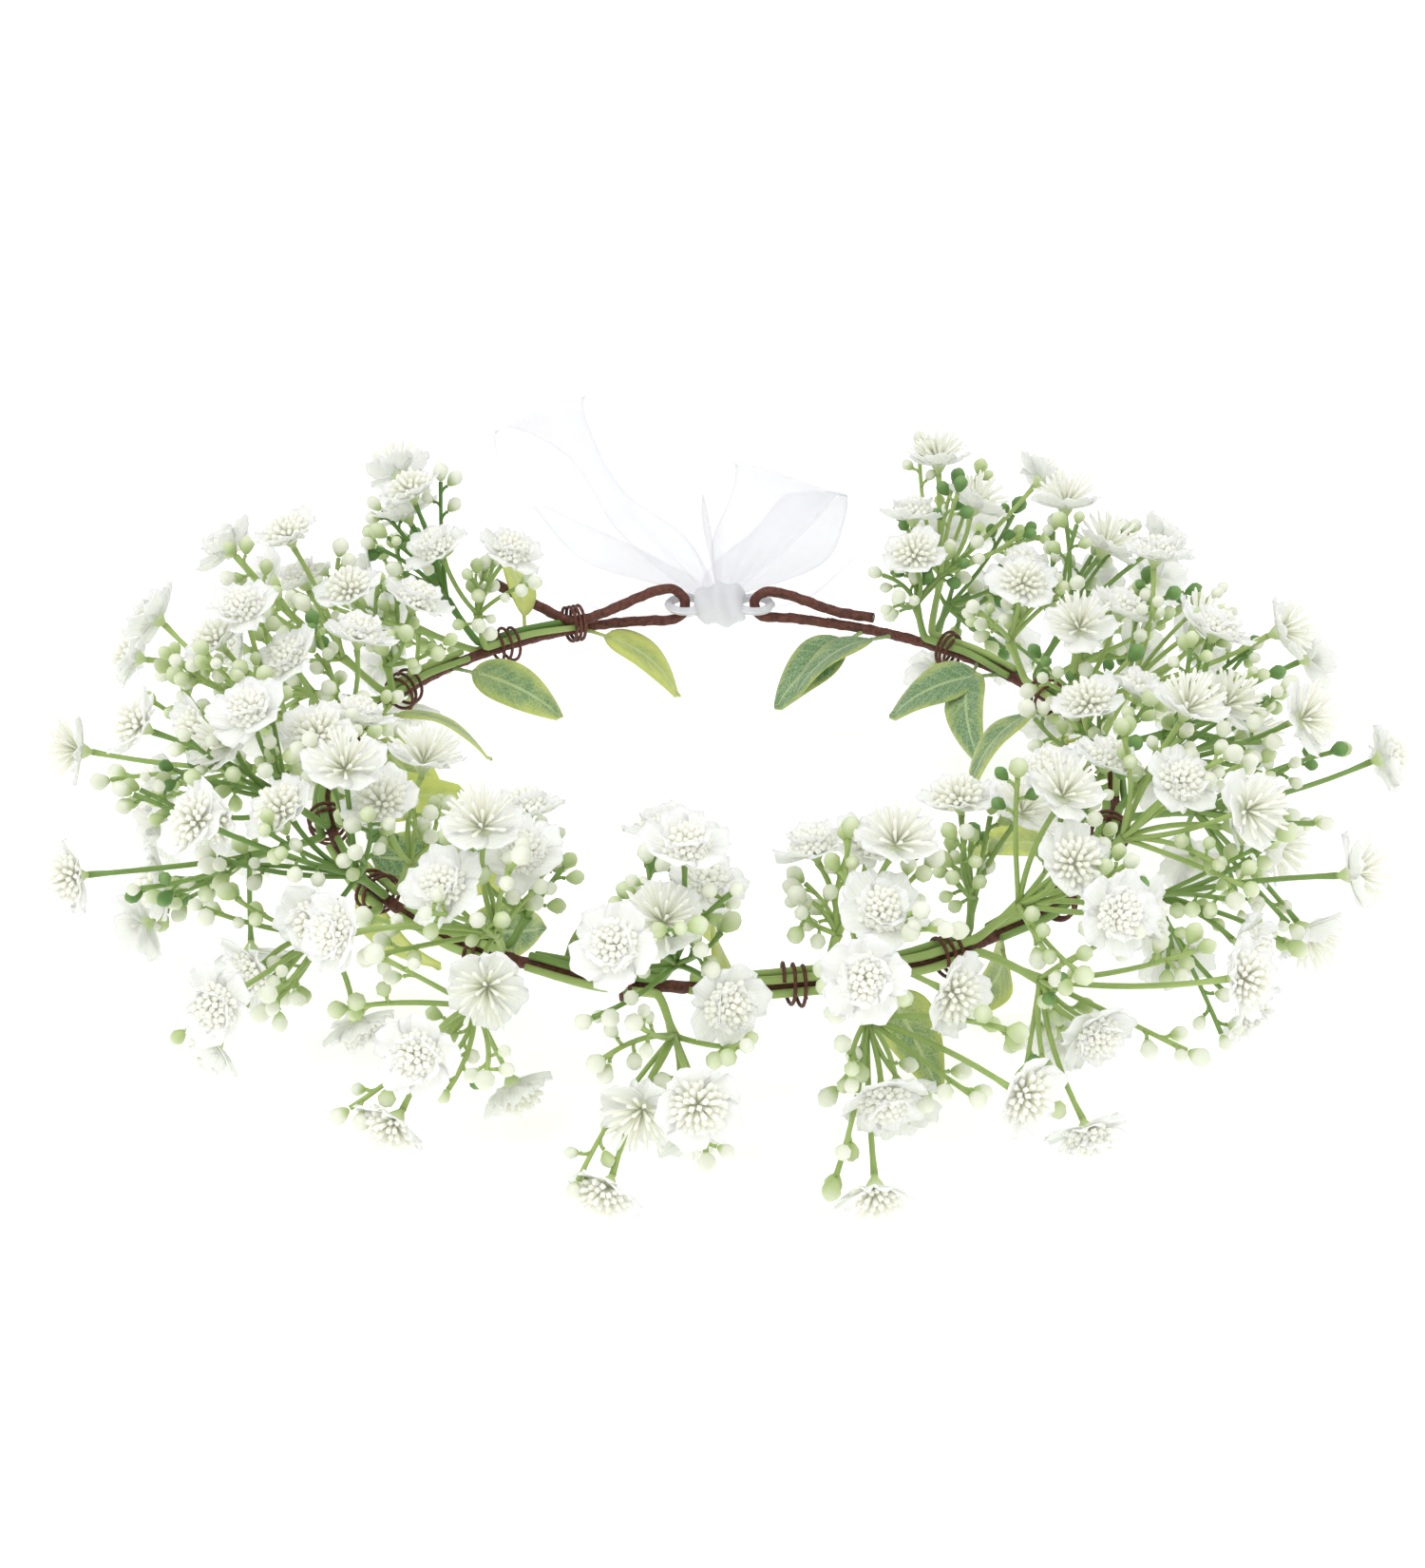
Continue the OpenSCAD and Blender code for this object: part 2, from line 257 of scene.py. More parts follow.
@dataclass
class Shape:
    """A bare mesh: points, four-sided and three-sided faces, and a tint for each point.

    The tint's channels are: how far along (0 root to 1 tip), a number for the copy, how far across,
    and the kind of piece.
    """

    verts: Array
    quads: Array
    tris: Array
    tint: Array

    @staticmethod
    def from_object(obj: bpy.types.Object, along: Callable[[Array], Array]) -> "Shape":
        """Takes the mesh off a modelled object and removes the object.

        Args:
            obj: The finished master.
            along: Gives each point's share of the way from root to tip.

        Returns:
            The shape, in the object's own units.
        """
        me = obj.data
        verts = np.array([v.co[:] for v in me.vertices], float)
        quads, tris = [], []
        for poly in me.polygons:
            ring = list(poly.vertices)
            if len(ring) == 4:
                quads.append(ring)
            else:
                tris.extend([ring[0], ring[n], ring[n + 1]] for n in range(1, len(ring) - 1))
        tint = np.zeros((len(verts), 4))
        tint[:, 0] = np.clip(along(verts), 0, 1)
        bpy.data.objects.remove(obj, do_unlink=True)
        bpy.data.meshes.remove(me)
        return Shape(verts, np.array(quads, int).reshape(-1, 4), np.array(tris, int).reshape(-1, 3), tint)

    def placed(self, m: Array, copy: float = 0.0, kind: Optional[float] = None) -> "Shape":
        """A copy of the shape in a new place.

        Args:
            m: 3 by 4 matrix of turn, size and place.
            copy: The copy's own number, for its tint.
            kind: The copy's kind, or None to keep the shape's.

        Returns:
            The copy, with its own points.
        """
        tint = self.tint.copy()
        tint[:, 1] = copy
        if kind is not None:
            tint[:, 3] = kind
        return Shape(self.verts @ m[:, :3].T + m[:, 3], self.quads, self.tris, tint)


class Pile:
    """Shapes gathered into one piece."""

    def __init__(self, name: str) -> None:
        """Starts an empty pile for the piece called name."""
        self.name = name
        self.shapes: list[Shape] = []

    def add(self, shape: Shape) -> None:
        """Puts a shape on the pile."""
        self.shapes.append(shape)

    def build(self, scale: float = MM) -> bpy.types.Object:
        """Makes the pile one object whose place is in its mesh.

        Args:
            scale: From the shapes' units to metres.

        Returns:
            The new object, shaded smooth.
        """
        me = bpy.data.meshes.new(self.name)
        offsets = np.cumsum([0] + [len(s.verts) for s in self.shapes])
        verts = np.concatenate([s.verts for s in self.shapes]) * scale
        quads = np.concatenate([s.quads + o for s, o in zip(self.shapes, offsets)]).astype(int)
        tris = np.concatenate([s.tris + o for s, o in zip(self.shapes, offsets)]).astype(int)
        tint = np.concatenate([s.tint for s in self.shapes])
        verts[:, 2] = np.maximum(verts[:, 2], 0.0002)
        me.vertices.add(len(verts))
        me.vertices.foreach_set("co", verts.ravel())
        me.loops.add(quads.size + tris.size)
        me.loops.foreach_set("vertex_index", np.concatenate([quads.ravel(), tris.ravel()]))
        me.polygons.add(len(quads) + len(tris))
        starts = np.concatenate([np.arange(len(quads)) * 4, quads.size + np.arange(len(tris)) * 3])
        me.polygons.foreach_set("loop_start", starts)
        me.update(calc_edges=True)
        me.validate()
        layer = me.attributes.new("tint", "FLOAT_COLOR", "POINT")
        layer.data.foreach_set("color", tint.astype(np.float32).ravel())
        me.polygons.foreach_set("use_smooth", [True] * len(me.polygons))
        obj = bpy.data.objects.new(self.name, me)
        bpy.context.scene.collection.objects.link(obj)
        return obj


def seat(at: Array, facing: Array, roll: float = 0.0, size: float = 1.0) -> Array:
    """The matrix that stands a shape made along +Z at a place.

    Args:
        at: Where its root goes.
        facing: The way its +Z turns.
        roll: Turn about that way, in degrees.
        size: How much larger it gets.

    Returns:
        3 by 4 matrix.
    """
    z = unit(facing)
    x = unit(np.cross(vec(0.13, 0.99, 0.07) if abs(z[1]) < 0.9 else vec(1, 0, 0), z))
    y = np.cross(z, x)
    c, s = math.cos(math.radians(roll)), math.sin(math.radians(roll))
    return np.column_stack([size * (c * x + s * y), size * (c * y - s * x), size * z, at])


def curve(p: Array, u: Array, v: Array, q: Array, n: int) -> list[Array]:
    """Points of a cubic from p, leaving along u, to q, arriving along v. The first point is left out."""
    out = []
    for i in range(1, n + 1):
        t = i / n
        s = 1 - t
        out.append(s**3 * p + 3 * s * s * t * (p + u) + 3 * s * t * t * (q - v) + t**3 * q)
    return out


def frames(points: Array) -> tuple[Array, Array, Array]:
    """Directions along a route and two square to it that turn as little as they can.

    Args:
        points: The route's points, in order.

    Returns:
        Arrays of along, side and up, one row for each point.
    """
    along = np.gradient(points, axis=0)
    along /= np.maximum(np.linalg.norm(along, axis=1, keepdims=True), 1e-9)
    side = np.zeros_like(points)
    start = vec(0, 0, 1) if abs(along[0][2]) < 0.9 else vec(1, 0, 0)
    side[0] = unit(np.cross(start, along[0]))
    for i in range(1, len(points)):
        s = side[i - 1] - along[i] * float(side[i - 1] @ along[i])
        side[i] = unit(s)
    return along, side, np.cross(along, side)


def sweep(points: Sequence[Array], radii: Array, sides: int, copy: float = 0.0, kind: float = 0.0) -> Shape:
    """A closed round stem along a route.

    Args:
        points: The route's points.
        radii: Radius at each point, or at each point and side.
        sides: Sides of its section.
        copy: The copy's own number, for its tint.
        kind: Its kind, for its tint.

    Returns:
        The stem, with a flat cap at each end.
    """
    pts = np.array(points, float)
    n = len(pts)
    _, side, up = frames(pts)
    ang = 2 * math.pi * np.arange(sides) / sides
    r = np.broadcast_to(np.asarray(radii, float).reshape(n, -1), (n, sides))[:, :, None]
    rim = side[:, None, :] * np.cos(ang)[None, :, None] + up[:, None, :] * np.sin(ang)[None, :, None]
    body = (pts[:, None, :] + rim * r).reshape(-1, 3)
    i, s = np.meshgrid(np.arange(n - 1), np.arange(sides), indexing="ij")
    t = (s + 1) % sides
    quads = np.stack([i * sides + s, i * sides + t, (i + 1) * sides + t, (i + 1) * sides + s], -1)
    quads = quads.reshape(-1, 4)
    first, last = n * sides, n * sides + 1
    a = np.arange(sides)
    b = (a + 1) % sides
    tris = np.concatenate(
        [
            np.stack([np.full(sides, first), b, a], -1),
            np.stack([np.full(sides, last), (n - 1) * sides + a, (n - 1) * sides + b], -1),
        ]
    )
    tint = np.zeros((n * sides + 2, 4))
    tint[:-2, 0] = np.repeat(np.linspace(0, 1, n), sides)
    tint[:-2, 2] = np.tile(a / sides, n)
    tint[-1, 0] = 1
    tint[:, 1], tint[:, 3] = copy, kind
    return Shape(np.concatenate([body, pts[:1], pts[-1:]]), quads, tris, tint)


def cloth(grid: Array, kind: float = 0.0) -> Shape:
    """A sheet through a grid of points, with its tint along and across.

    Args:
        grid: Points, rows along the sheet and columns across it.
        kind: Its kind, for its tint.

    Returns:
        The open sheet.
    """
    rows, cols = grid.shape[:2]
    i, j = np.meshgrid(np.arange(rows - 1), np.arange(cols - 1), indexing="ij")
    at = i * cols + j
    quads = np.stack([at, at + cols, at + cols + 1, at + 1], -1).reshape(-1, 4)
    tint = np.zeros((rows * cols, 4))
    tint[:, 0] = np.repeat(np.linspace(0, 1, rows), cols)
    tint[:, 2] = np.tile(np.linspace(0, 1, cols), rows)
    tint[:, 3] = kind
    return Shape(grid.reshape(-1, 3), quads, np.zeros((0, 3), int), tint)


class Bench:
    """The modelling bench: one master shape at a time, made with Blender's own operators."""

    @staticmethod
    def clear() -> None:
        """Leaves nothing selected and nothing in edit mode."""
        if bpy.context.object and bpy.context.object.mode != "OBJECT":
            bpy.ops.object.mode_set(mode="OBJECT")
        bpy.ops.object.select_all(action="DESELECT")

    @staticmethod
    def start(add: Callable[..., set], **sizes: object) -> bpy.types.Object:
        """Adds a primitive at its size and opens it in edit mode.

        Args:
            add: The primitive's operator.
            **sizes: Its sizes.

        Returns:
            The new object.
        """
        Bench.clear()
        add(**sizes)
        bpy.ops.object.transform_apply(location=True, rotation=False, scale=False)
        bpy.ops.object.mode_set(mode="EDIT")
        return bpy.context.object

    @staticmethod
    def pick(test: Callable[[Vector], bool]) -> int:
        """Selects the points of the open mesh that pass a test, with the faces between them.

        Args:
            test: Says whether a point is wanted.

        Returns:
            How many points are selected.
        """
        bm = bmesh.from_edit_mesh(bpy.context.object.data)
        bpy.ops.mesh.select_mode(type="VERT")
        for v in bm.verts:
            v.select = bool(test(v.co))
        bm.select_flush(True)
        bm.select_flush(False)
        bmesh.update_edit_mesh(bpy.context.object.data)
        return sum(v.select for v in bm.verts)

    @staticmethod
    def resize(x: float, y: float, z: float, about: tuple[float, float, float] = (0, 0, 0)) -> None:
        """Scales what is selected about a point."""
        bpy.ops.transform.resize(value=(x, y, z), center_override=about)

    @staticmethod
    def shape_points(move: Callable[[Array], Array]) -> None:
        """Moves every point of the open mesh, as a sculpting stroke does."""
        bm = bmesh.from_edit_mesh(bpy.context.object.data)
        for v in bm.verts:
            v.co = Vector(move(np.array(v.co[:])))
        bmesh.update_edit_mesh(bpy.context.object.data)

    @staticmethod
    def done() -> bpy.types.Object:
        """Leaves edit mode and returns the mesh's object."""
        bpy.ops.object.mode_set(mode="OBJECT")
        return bpy.context.object

    @staticmethod
    def solid(obj: bpy.types.Object, thickness: float) -> None:
        """Gives an open petal or blade its thickness."""
        mod = obj.modifiers.new("thickness", "SOLIDIFY")
        mod.thickness = thickness
        mod.offset = 0
        bpy.ops.object.modifier_apply(modifier=mod.name)


# ----------------------------------------------------------------------------- finishes


class Wire:
    """Helper that joins up a material's nodes."""

    def __init__(self, name: str) -> None:
        """Makes a fresh node material with a Principled shader."""
        self.mat = bpy.data.materials.new(name)
        self.mat.use_nodes = True
        self.tree = self.mat.node_tree
        self.shader = self.tree.nodes["Principled BSDF"]

    def node(self, kind: str, **props: object) -> bpy.types.Node:
        """Adds a node and sets its properties."""
        n = self.tree.nodes.new(kind)
        for key, value in props.items():
            setattr(n, key, value)
        return n

    def link(self, a: Socket, b: Socket) -> None:
        """Joins one socket to another."""
        self.tree.links.new(a, b)

    def tint(self) -> tuple[Socket, Socket, Socket, Socket]:
        """The piece's tint channels: along, copy, across and kind."""
        attr = self.node("ShaderNodeAttribute", attribute_name="tint")
        split = self.node("ShaderNodeSeparateColor")
        self.link(attr.outputs["Color"], split.inputs["Color"])
        return split.outputs["Red"], split.outputs["Green"], split.outputs["Blue"], attr.outputs["Alpha"]

    def ramp(self, fac: Socket, stops: Sequence[tuple[float, Sequence[float]]]) -> Socket:
        """A colour ramp through stops, read at fac."""
        n = self.node("ShaderNodeValToRGB")
        while len(n.color_ramp.elements) < len(stops):
            n.color_ramp.elements.new(0.5)
        for e, (pos, col) in zip(n.color_ramp.elements, stops):
            e.position = pos
            e.color = (*col, 1)
        self.link(fac, n.inputs["Fac"])
        return n.outputs["Color"]

    def math(self, op: str, a: object, b: object = 0.0, clamp: bool = False) -> Socket:
        """A sum of two sockets or numbers."""
        n = self.node("ShaderNodeMath", operation=op, use_clamp=clamp)
        for i, x in enumerate((a, b)):
            if isinstance(x, Socket):
                self.link(x, n.inputs[i])
            else:
                n.inputs[i].default_value = float(x)
        return n.outputs[0]

    def mix(self, fac: object, a: object, b: object) -> Socket:
        """Blends colour a into colour b."""
        n = self.node("ShaderNodeMix", data_type="RGBA")
        for i, x in ((0, fac), (6, a), (7, b)):
            if isinstance(x, Socket):
                self.link(x, n.inputs[i])
            elif i == 0:
                n.inputs[i].default_value = float(x)
            else:
                n.inputs[i].default_value = (*x, 1)
        return n.outputs[2]

    def noise(self, scale: float, detail: float = 3.0, rough: float = 0.55) -> Socket:
        """Cloudy noise over the piece, with scale in waves a metre."""
        where = self.node("ShaderNodeTexCoord")
        n = self.node("ShaderNodeTexNoise")
        n.inputs["Scale"].default_value = scale
        n.inputs["Detail"].default_value = detail
        n.inputs["Roughness"].default_value = rough
        self.link(where.outputs["Object"], n.inputs["Vector"])
        return n.outputs["Fac"]

    def group(self, tree: bpy.types.NodeTree, **values: object) -> bpy.types.Node:
        """Places a shared effect with its own values."""
        n = self.node("ShaderNodeGroup", node_tree=tree)
        for key, value in values.items():
            if isinstance(value, Socket):
                self.link(value, n.inputs[key])
            else:
                n.inputs[key].default_value = value
        return n

    def bump(self, height: Socket, strength: float, depth: float) -> None:
        """Raises the surface by a height that is given in metres by depth."""
        n = self.node("ShaderNodeBump")
        n.inputs["Strength"].default_value = strength
        n.inputs["Distance"].default_value = depth
        self.link(height, n.inputs["Height"])
        self.link(n.outputs["Normal"], self.shader.inputs["Normal"])

    def set(self, **values: object) -> None:
        """Sets constants on the shader's own sockets, by name with spaces as underscores."""
        for key, value in values.items():
            self.shader.inputs[key.replace("_", " ")].default_value = value


def mottle_group() -> bpy.types.NodeTree:
    """The shared mottle of moulded plastic: a colour that drifts lighter and darker, with a mask.

    Returns:
        Node group with inputs Color, Amount and Scale, and outputs Color, Mask and Roughness.
    """
    tree = bpy.data.node_groups.new("Moulded mottle", "ShaderNodeTree")
    face = tree.interface
    face.new_socket("Color", in_out="INPUT", socket_type="NodeSocketColor")
    face.new_socket("Amount", in_out="INPUT", socket_type="NodeSocketFloat")
    face.new_socket("Scale", in_out="INPUT", socket_type="NodeSocketFloat")
    face.new_socket("Color", in_out="OUTPUT", socket_type="NodeSocketColor")
    face.new_socket("Mask", in_out="OUTPUT", socket_type="NodeSocketFloat")
    face.new_socket("Roughness", in_out="OUTPUT", socket_type="NodeSocketFloat")
    new, link = tree.nodes.new, tree.links.new
    gin, gout = new("NodeGroupInput"), new("NodeGroupOutput")
    where, cloud = new("ShaderNodeTexCoord"), new("ShaderNodeTexNoise")
    cloud.inputs["Detail"].default_value = 4
    link(where.outputs["Object"], cloud.inputs["Vector"])
    link(gin.outputs["Scale"], cloud.inputs["Scale"])
    span = new("ShaderNodeMapRange")
    span.inputs["From Min"].default_value, span.inputs["From Max"].default_value = 0.3, 0.7
    link(cloud.outputs["Fac"], span.inputs["Value"])
    dark = new("ShaderNodeMix")
    dark.data_type, dark.blend_type = "RGBA", "MULTIPLY"
    dark.inputs[7].default_value = (0.62, 0.68, 0.5, 1)
    amount = new("ShaderNodeMath")
    amount.operation = "MULTIPLY"
    link(span.outputs["Result"], amount.inputs[0])
    link(gin.outputs["Amount"], amount.inputs[1])
    link(amount.outputs[0], dark.inputs[0])
    link(gin.outputs["Color"], dark.inputs[6])
    rough = new("ShaderNodeMapRange")
    rough.inputs["To Min"].default_value, rough.inputs["To Max"].default_value = 0.42, 0.6
    link(cloud.outputs["Fac"], rough.inputs["Value"])
    link(dark.outputs[2], gout.inputs["Color"])
    link(span.outputs["Result"], gout.inputs["Mask"])
    link(rough.outputs["Result"], gout.inputs["Roughness"])
    return tree


@dataclass(frozen=True)
class PetalFinish:
    """Soft white moulded petals: cream-green at the claw, cool white at the ruffle."""

    name: str = "petal plastic"
    claw: tuple[float, float, float] = (0.80, 0.86, 0.66)
    mid: tuple[float, float, float] = (0.945, 0.955, 0.92)
    rim: tuple[float, float, float] = (0.965, 0.968, 0.96)

    def build(self, mottle: bpy.types.NodeTree) -> bpy.types.Material:
        """Makes the material, with veins raised along each petal and a faint white glow: painted light that
        lifts the shade between the petals.
        """
        w = Wire(self.name)
        along, _, across, _ = w.tint()
        base = w.ramp(along, [(0.0, self.claw), (0.28, self.mid), (1.0, self.rim)])
        body = w.group(mottle, Color=base, Amount=0.12, Scale=220.0)
        w.link(body.outputs["Color"], w.shader.inputs["Base Color"])
        w.link(body.outputs["Roughness"], w.shader.inputs["Roughness"])
        vein = w.math("SINE", w.math("MULTIPLY", across, 62.0))
        w.bump(w.math("ADD", vein, w.math("MULTIPLY", body.outputs["Mask"], 0.8)), 0.35, 0.00012)
        w.set(Subsurface_Weight=0.5, Subsurface_Radius=(1.0, 1.0, 0.85), Subsurface_Scale=0.003)
        # Painted light: a faint white glow that lifts the shade between and under the petals.
        w.set(Emission_Color=(1.0, 1.0, 0.97, 1), Emission_Strength=0.06)
        return w.mat


@dataclass(frozen=True)
class StamenFinish:
    """Fringed hearts: cream with a green depth, whiter at the filaments' ends."""

    name: str = "stamen plastic"
    root: tuple[float, float, float] = (0.76, 0.82, 0.52)
    mid: tuple[float, float, float] = (0.87, 0.885, 0.70)
    tip: tuple[float, float, float] = (0.94, 0.94, 0.85)

    def build(self, mottle: bpy.types.NodeTree) -> bpy.types.Material:
        """Makes the material, with a faint cream glow: painted light that lifts the shade in the hearts."""
        w = Wire(self.name)
        along, _, _, _ = w.tint()
        base = w.ramp(along, [(0.0, self.root), (0.35, self.mid), (1.0, self.tip)])
        body = w.group(mottle, Color=base, Amount=0.12, Scale=400.0)
        w.link(body.outputs["Color"], w.shader.inputs["Base Color"])
        w.link(body.outputs["Roughness"], w.shader.inputs["Roughness"])
        w.bump(body.outputs["Mask"], 0.2, 0.0001)
        w.set(Subsurface_Weight=0.45, Subsurface_Radius=(1.0, 1.0, 0.8), Subsurface_Scale=0.003)
        # Painted light: a faint cream glow that lifts the shade deep in the hearts.
        w.set(Emission_Color=(1.0, 1.0, 0.93, 1), Emission_Strength=0.06)
        return w.mat


@dataclass(frozen=True)
class StemFinish:
    """Moulded stems and buds: fresh green stems, and buds painted white, pale or deep green.

    The tint's kind is 0 for a stem, and about 0.3, 0.6 or 0.9 for a white, pale or deep green bud.
    """

    name: str = "stem plastic"
    light: tuple[float, float, float] = (0.40, 0.52, 0.17)
    deep: tuple[float, float, float] = (0.12, 0.25, 0.045)
    cap: tuple[float, float, float] = (0.42, 0.55, 0.20)
    white: tuple[float, float, float] = (0.88, 0.895, 0.78)
    pale: tuple[float, float, float] = (0.56, 0.66, 0.33)
    dark: tuple[float, float, float] = (0.13, 0.27, 0.07)

    def build(self, mottle: bpy.types.NodeTree) -> bpy.types.Material:
        """Makes the material."""
        w = Wire(self.name)
        along, copy, _, kind = w.tint()
        stem = w.mix(w.math("MULTIPLY", copy, copy), self.light, self.deep)
        white = w.ramp(along, [(0.0, self.cap), (0.22, self.pale), (0.45, self.white), (1.0, self.white)])
        pale = w.ramp(along, [(0.0, self.cap), (0.5, self.pale), (1.0, (0.78, 0.83, 0.62))])
        dark = w.ramp(along, [(0.0, self.deep), (0.6, self.dark), (1.0, (0.22, 0.38, 0.12))])
        bud = w.mix(w.math("GREATER_THAN", kind, 0.45), white, pale)
        bud = w.mix(w.math("GREATER_THAN", kind, 0.75), bud, dark)
        base = w.mix(w.math("GREATER_THAN", kind, 0.15), stem, bud)
        body = w.group(mottle, Color=base, Amount=0.35, Scale=160.0)
        w.link(body.outputs["Color"], w.shader.inputs["Base Color"])
        w.link(body.outputs["Roughness"], w.shader.inputs["Roughness"])
        w.bump(body.outputs["Mask"], 0.25, 0.00015)
        w.set(Subsurface_Weight=0.18, Subsurface_Radius=(0.8, 1.0, 0.5), Subsurface_Scale=0.0015)
        return w.mat


@dataclass(frozen=True)
class LeafFinish:
    """Flocked cloth leaves: a dusty sage blade, pale veins and a lime rim."""

    name: str = "leaf flock"
    sage: tuple[float, float, float] = (0.13, 0.25, 0.10)
    frost: tuple[float, float, float] = (0.42, 0.53, 0.38)
    lime: tuple[float, float, float] = (0.55, 0.64, 0.16)
    gold: tuple[float, float, float] = (0.70, 0.72, 0.20)

    def build(self, mottle: bpy.types.NodeTree) -> bpy.types.Material:
        """Makes the material."""
        w = Wire(self.name)
        along, _, across, kind = w.tint()
        fleck = w.noise(2600.0, 2.0, 0.7)
        cloud = w.noise(190.0, 4.0, 0.6)
        dusted = w.math("GREATER_THAN", fleck, 0.5)
        frost = w.math("MULTIPLY", dusted, w.math("MULTIPLY", cloud, 1.1), clamp=True)
        sage = w.mix(frost, self.sage, self.frost)
        lime = w.mix(w.math("MULTIPLY", cloud, 0.8), self.lime, self.gold)
        rim = w.math("ABSOLUTE", w.math("SUBTRACT", w.math("MULTIPLY", across, 2.0), 1.0))
        edge = w.math("POWER", rim, 3.0)
        drift = w.math("MULTIPLY", w.math("SUBTRACT", cloud, 0.5), 1.2)
        patch = w.math("ADD", w.math("MULTIPLY", edge, 0.75), drift)
        fac = w.math("ADD", patch, w.math("SUBTRACT", w.math("MULTIPLY", kind, 1.4), 0.35), clamp=True)
        blade = w.mix(fac, sage, lime)
        rib = w.math("LESS_THAN", rim, 0.07)
        slant = w.math("SUBTRACT", w.math("MULTIPLY", along, 9.0), w.math("MULTIPLY", rim, 2.2))
        ray = w.math("POWER", w.math("ABSOLUTE", w.math("SINE", w.math("MULTIPLY", slant, 3.1416))), 14.0)
        veins = w.math("MAXIMUM", rib, w.math("MULTIPLY", ray, 0.35))
        base = w.mix(w.math("MULTIPLY", veins, 0.55), blade, (0.62, 0.70, 0.38))
        body = w.group(mottle, Color=base, Amount=0.25, Scale=120.0)
        w.link(body.outputs["Color"], w.shader.inputs["Base Color"])
        w.set(Roughness=0.85, Sheen_Weight=0.35, Sheen_Roughness=0.4, Specular_IOR_Level=0.25)
        w.bump(w.math("ADD", w.math("MULTIPLY", fleck, 0.6), veins), 0.5, 0.00022)
        return w.mat


@dataclass(frozen=True)
class TapeFinish:
    """Waxed paper tape in a spiral: crinkled, with darker laps."""

    name: str = "floral tape"
    dark: tuple[float, float, float] = (0.045, 0.012, 0.008)
    light: tuple[float, float, float] = (0.19, 0.062, 0.04)

    def build(self) -> bpy.types.Material:
        """Makes the material."""
        w = Wire(self.name)
        cloud = w.noise(900.0, 5.0, 0.65)
        crinkle = w.noise(3200.0, 3.0, 0.6)
        base = w.ramp(cloud, [(0.3, self.dark), (0.7, self.light)])
        w.link(base, w.shader.inputs["Base Color"])
        w.bump(crinkle, 0.6, 0.0002)
        w.set(Roughness=0.62, Specular_IOR_Level=0.4)
        return w.mat


@dataclass(frozen=True)
class SteelFinish:
    """Drawn wire: dull steel with long scratches."""

    name: str = "steel wire"

    def build(self) -> bpy.types.Material:
        """Makes the material."""
        w = Wire(self.name)
        scratch = w.noise(1500.0, 4.0)
        base = w.ramp(scratch, [(0.3, (0.32, 0.31, 0.30)), (0.7, (0.55, 0.55, 0.56))])
        w.link(base, w.shader.inputs["Base Color"])
        w.link(w.math("ADD", w.math("MULTIPLY", scratch, 0.3), 0.25), w.shader.inputs["Roughness"])
        w.set(Metallic=1.0)
        return w.mat


@dataclass(frozen=True)
class OrganzaFinish:
    """Sheer organza: a fine open weave that lets most light past, with a closer selvage."""

    name: str = "organza"
    thread: tuple[float, float, float] = (0.86, 0.86, 0.90)
    sheer: float = 0.46
    selvage: float = 0.85

    def build(self) -> bpy.types.Material:
        """Makes the material."""
        w = Wire(self.name)
        _, _, across, kind = w.tint()
        rim = w.math("ABSOLUTE", w.math("SUBTRACT", w.math("MULTIPLY", across, 2.0), 1.0))
        edge = w.math("POWER", rim, 26.0)
        cloud = w.noise(60.0, 3.0)
        warp = w.math("ABSOLUTE", w.math("SINE", w.math("MULTIPLY", across, 340.0)))
        weave = w.math("MULTIPLY", warp, 0.10)
        closed = w.math("MULTIPLY", edge, self.selvage - self.sheer)
        cover = w.math("ADD", closed, w.math("ADD", weave, self.sheer - 0.1))
        cover = w.math("ADD", cover, w.math("MULTIPLY", w.math("SUBTRACT", cloud, 0.5), 0.16))
        cover = w.math("ADD", cover, w.math("MULTIPLY", kind, 0.5), clamp=True)
        w.link(cover, w.shader.inputs["Alpha"])
        w.link(w.mix(cloud, self.thread, (0.76, 0.76, 0.81)), w.shader.inputs["Base Color"])
        w.bump(w.math("ADD", warp, cloud), 0.2, 0.0001)
        w.set(Roughness=0.45, Sheen_Weight=0.3, Sheen_Roughness=0.3, Specular_IOR_Level=0.5)
        return w.mat


# ----------------------------------------------------------------------------- wire and tape


def eye_route(side: int, deg: float, eye_r: float, over: Array, end: Array) -> list[Array]:
    """The middle of an eye's wire, from the ring round the tip to its cut end.

    Args:
        side: -1 on the left and 1 on the right.
        deg: Angle round the ring at which the eye starts.
        eye_r: Radius of the bend at the tip.
        over: Where the wire passes over the ring.
        end: The cut end.

    Returns:
        The route's points, in millimetres.
    """
    start = RULE.by_wire(deg, 0, 0)
    bend = vec(side * (RULE.eye_gap + eye_r), RULE.knot_at[1], RULE.knot_at[2])
    inward = vec(-side, 0, 0)
    ring_dir = side * flat_dir(deg + 90)
    away = unit(end - over)
    turn = [
        bend + eye_r * (math.sin(math.radians(a)) * inward - vec(0, 0, math.cos(math.radians(a))))
        for a in range(20, 181, 20)
    ]
    low = curve(start, 7 * ring_dir, 7 * inward, bend - vec(0, 0, eye_r), 7)
    high = curve(bend + vec(0, 0, eye_r), -6 * inward, 7 * away, over, 7)
    return [start, *low, *turn, *high, (over + end) / 2, end]


def even_steps(points: Sequence[Array], step: float) -> Array:
    """The same route with its points a step apart."""
    pts = np.array(points, float)
    d = np.concatenate([[0], np.cumsum(np.linalg.norm(np.diff(pts, axis=0), axis=1))])
    s = np.linspace(0, d[-1], max(int(d[-1] / step), 2) + 1)
    return np.column_stack([np.interp(s, d, pts[:, c]) for c in range(3)])


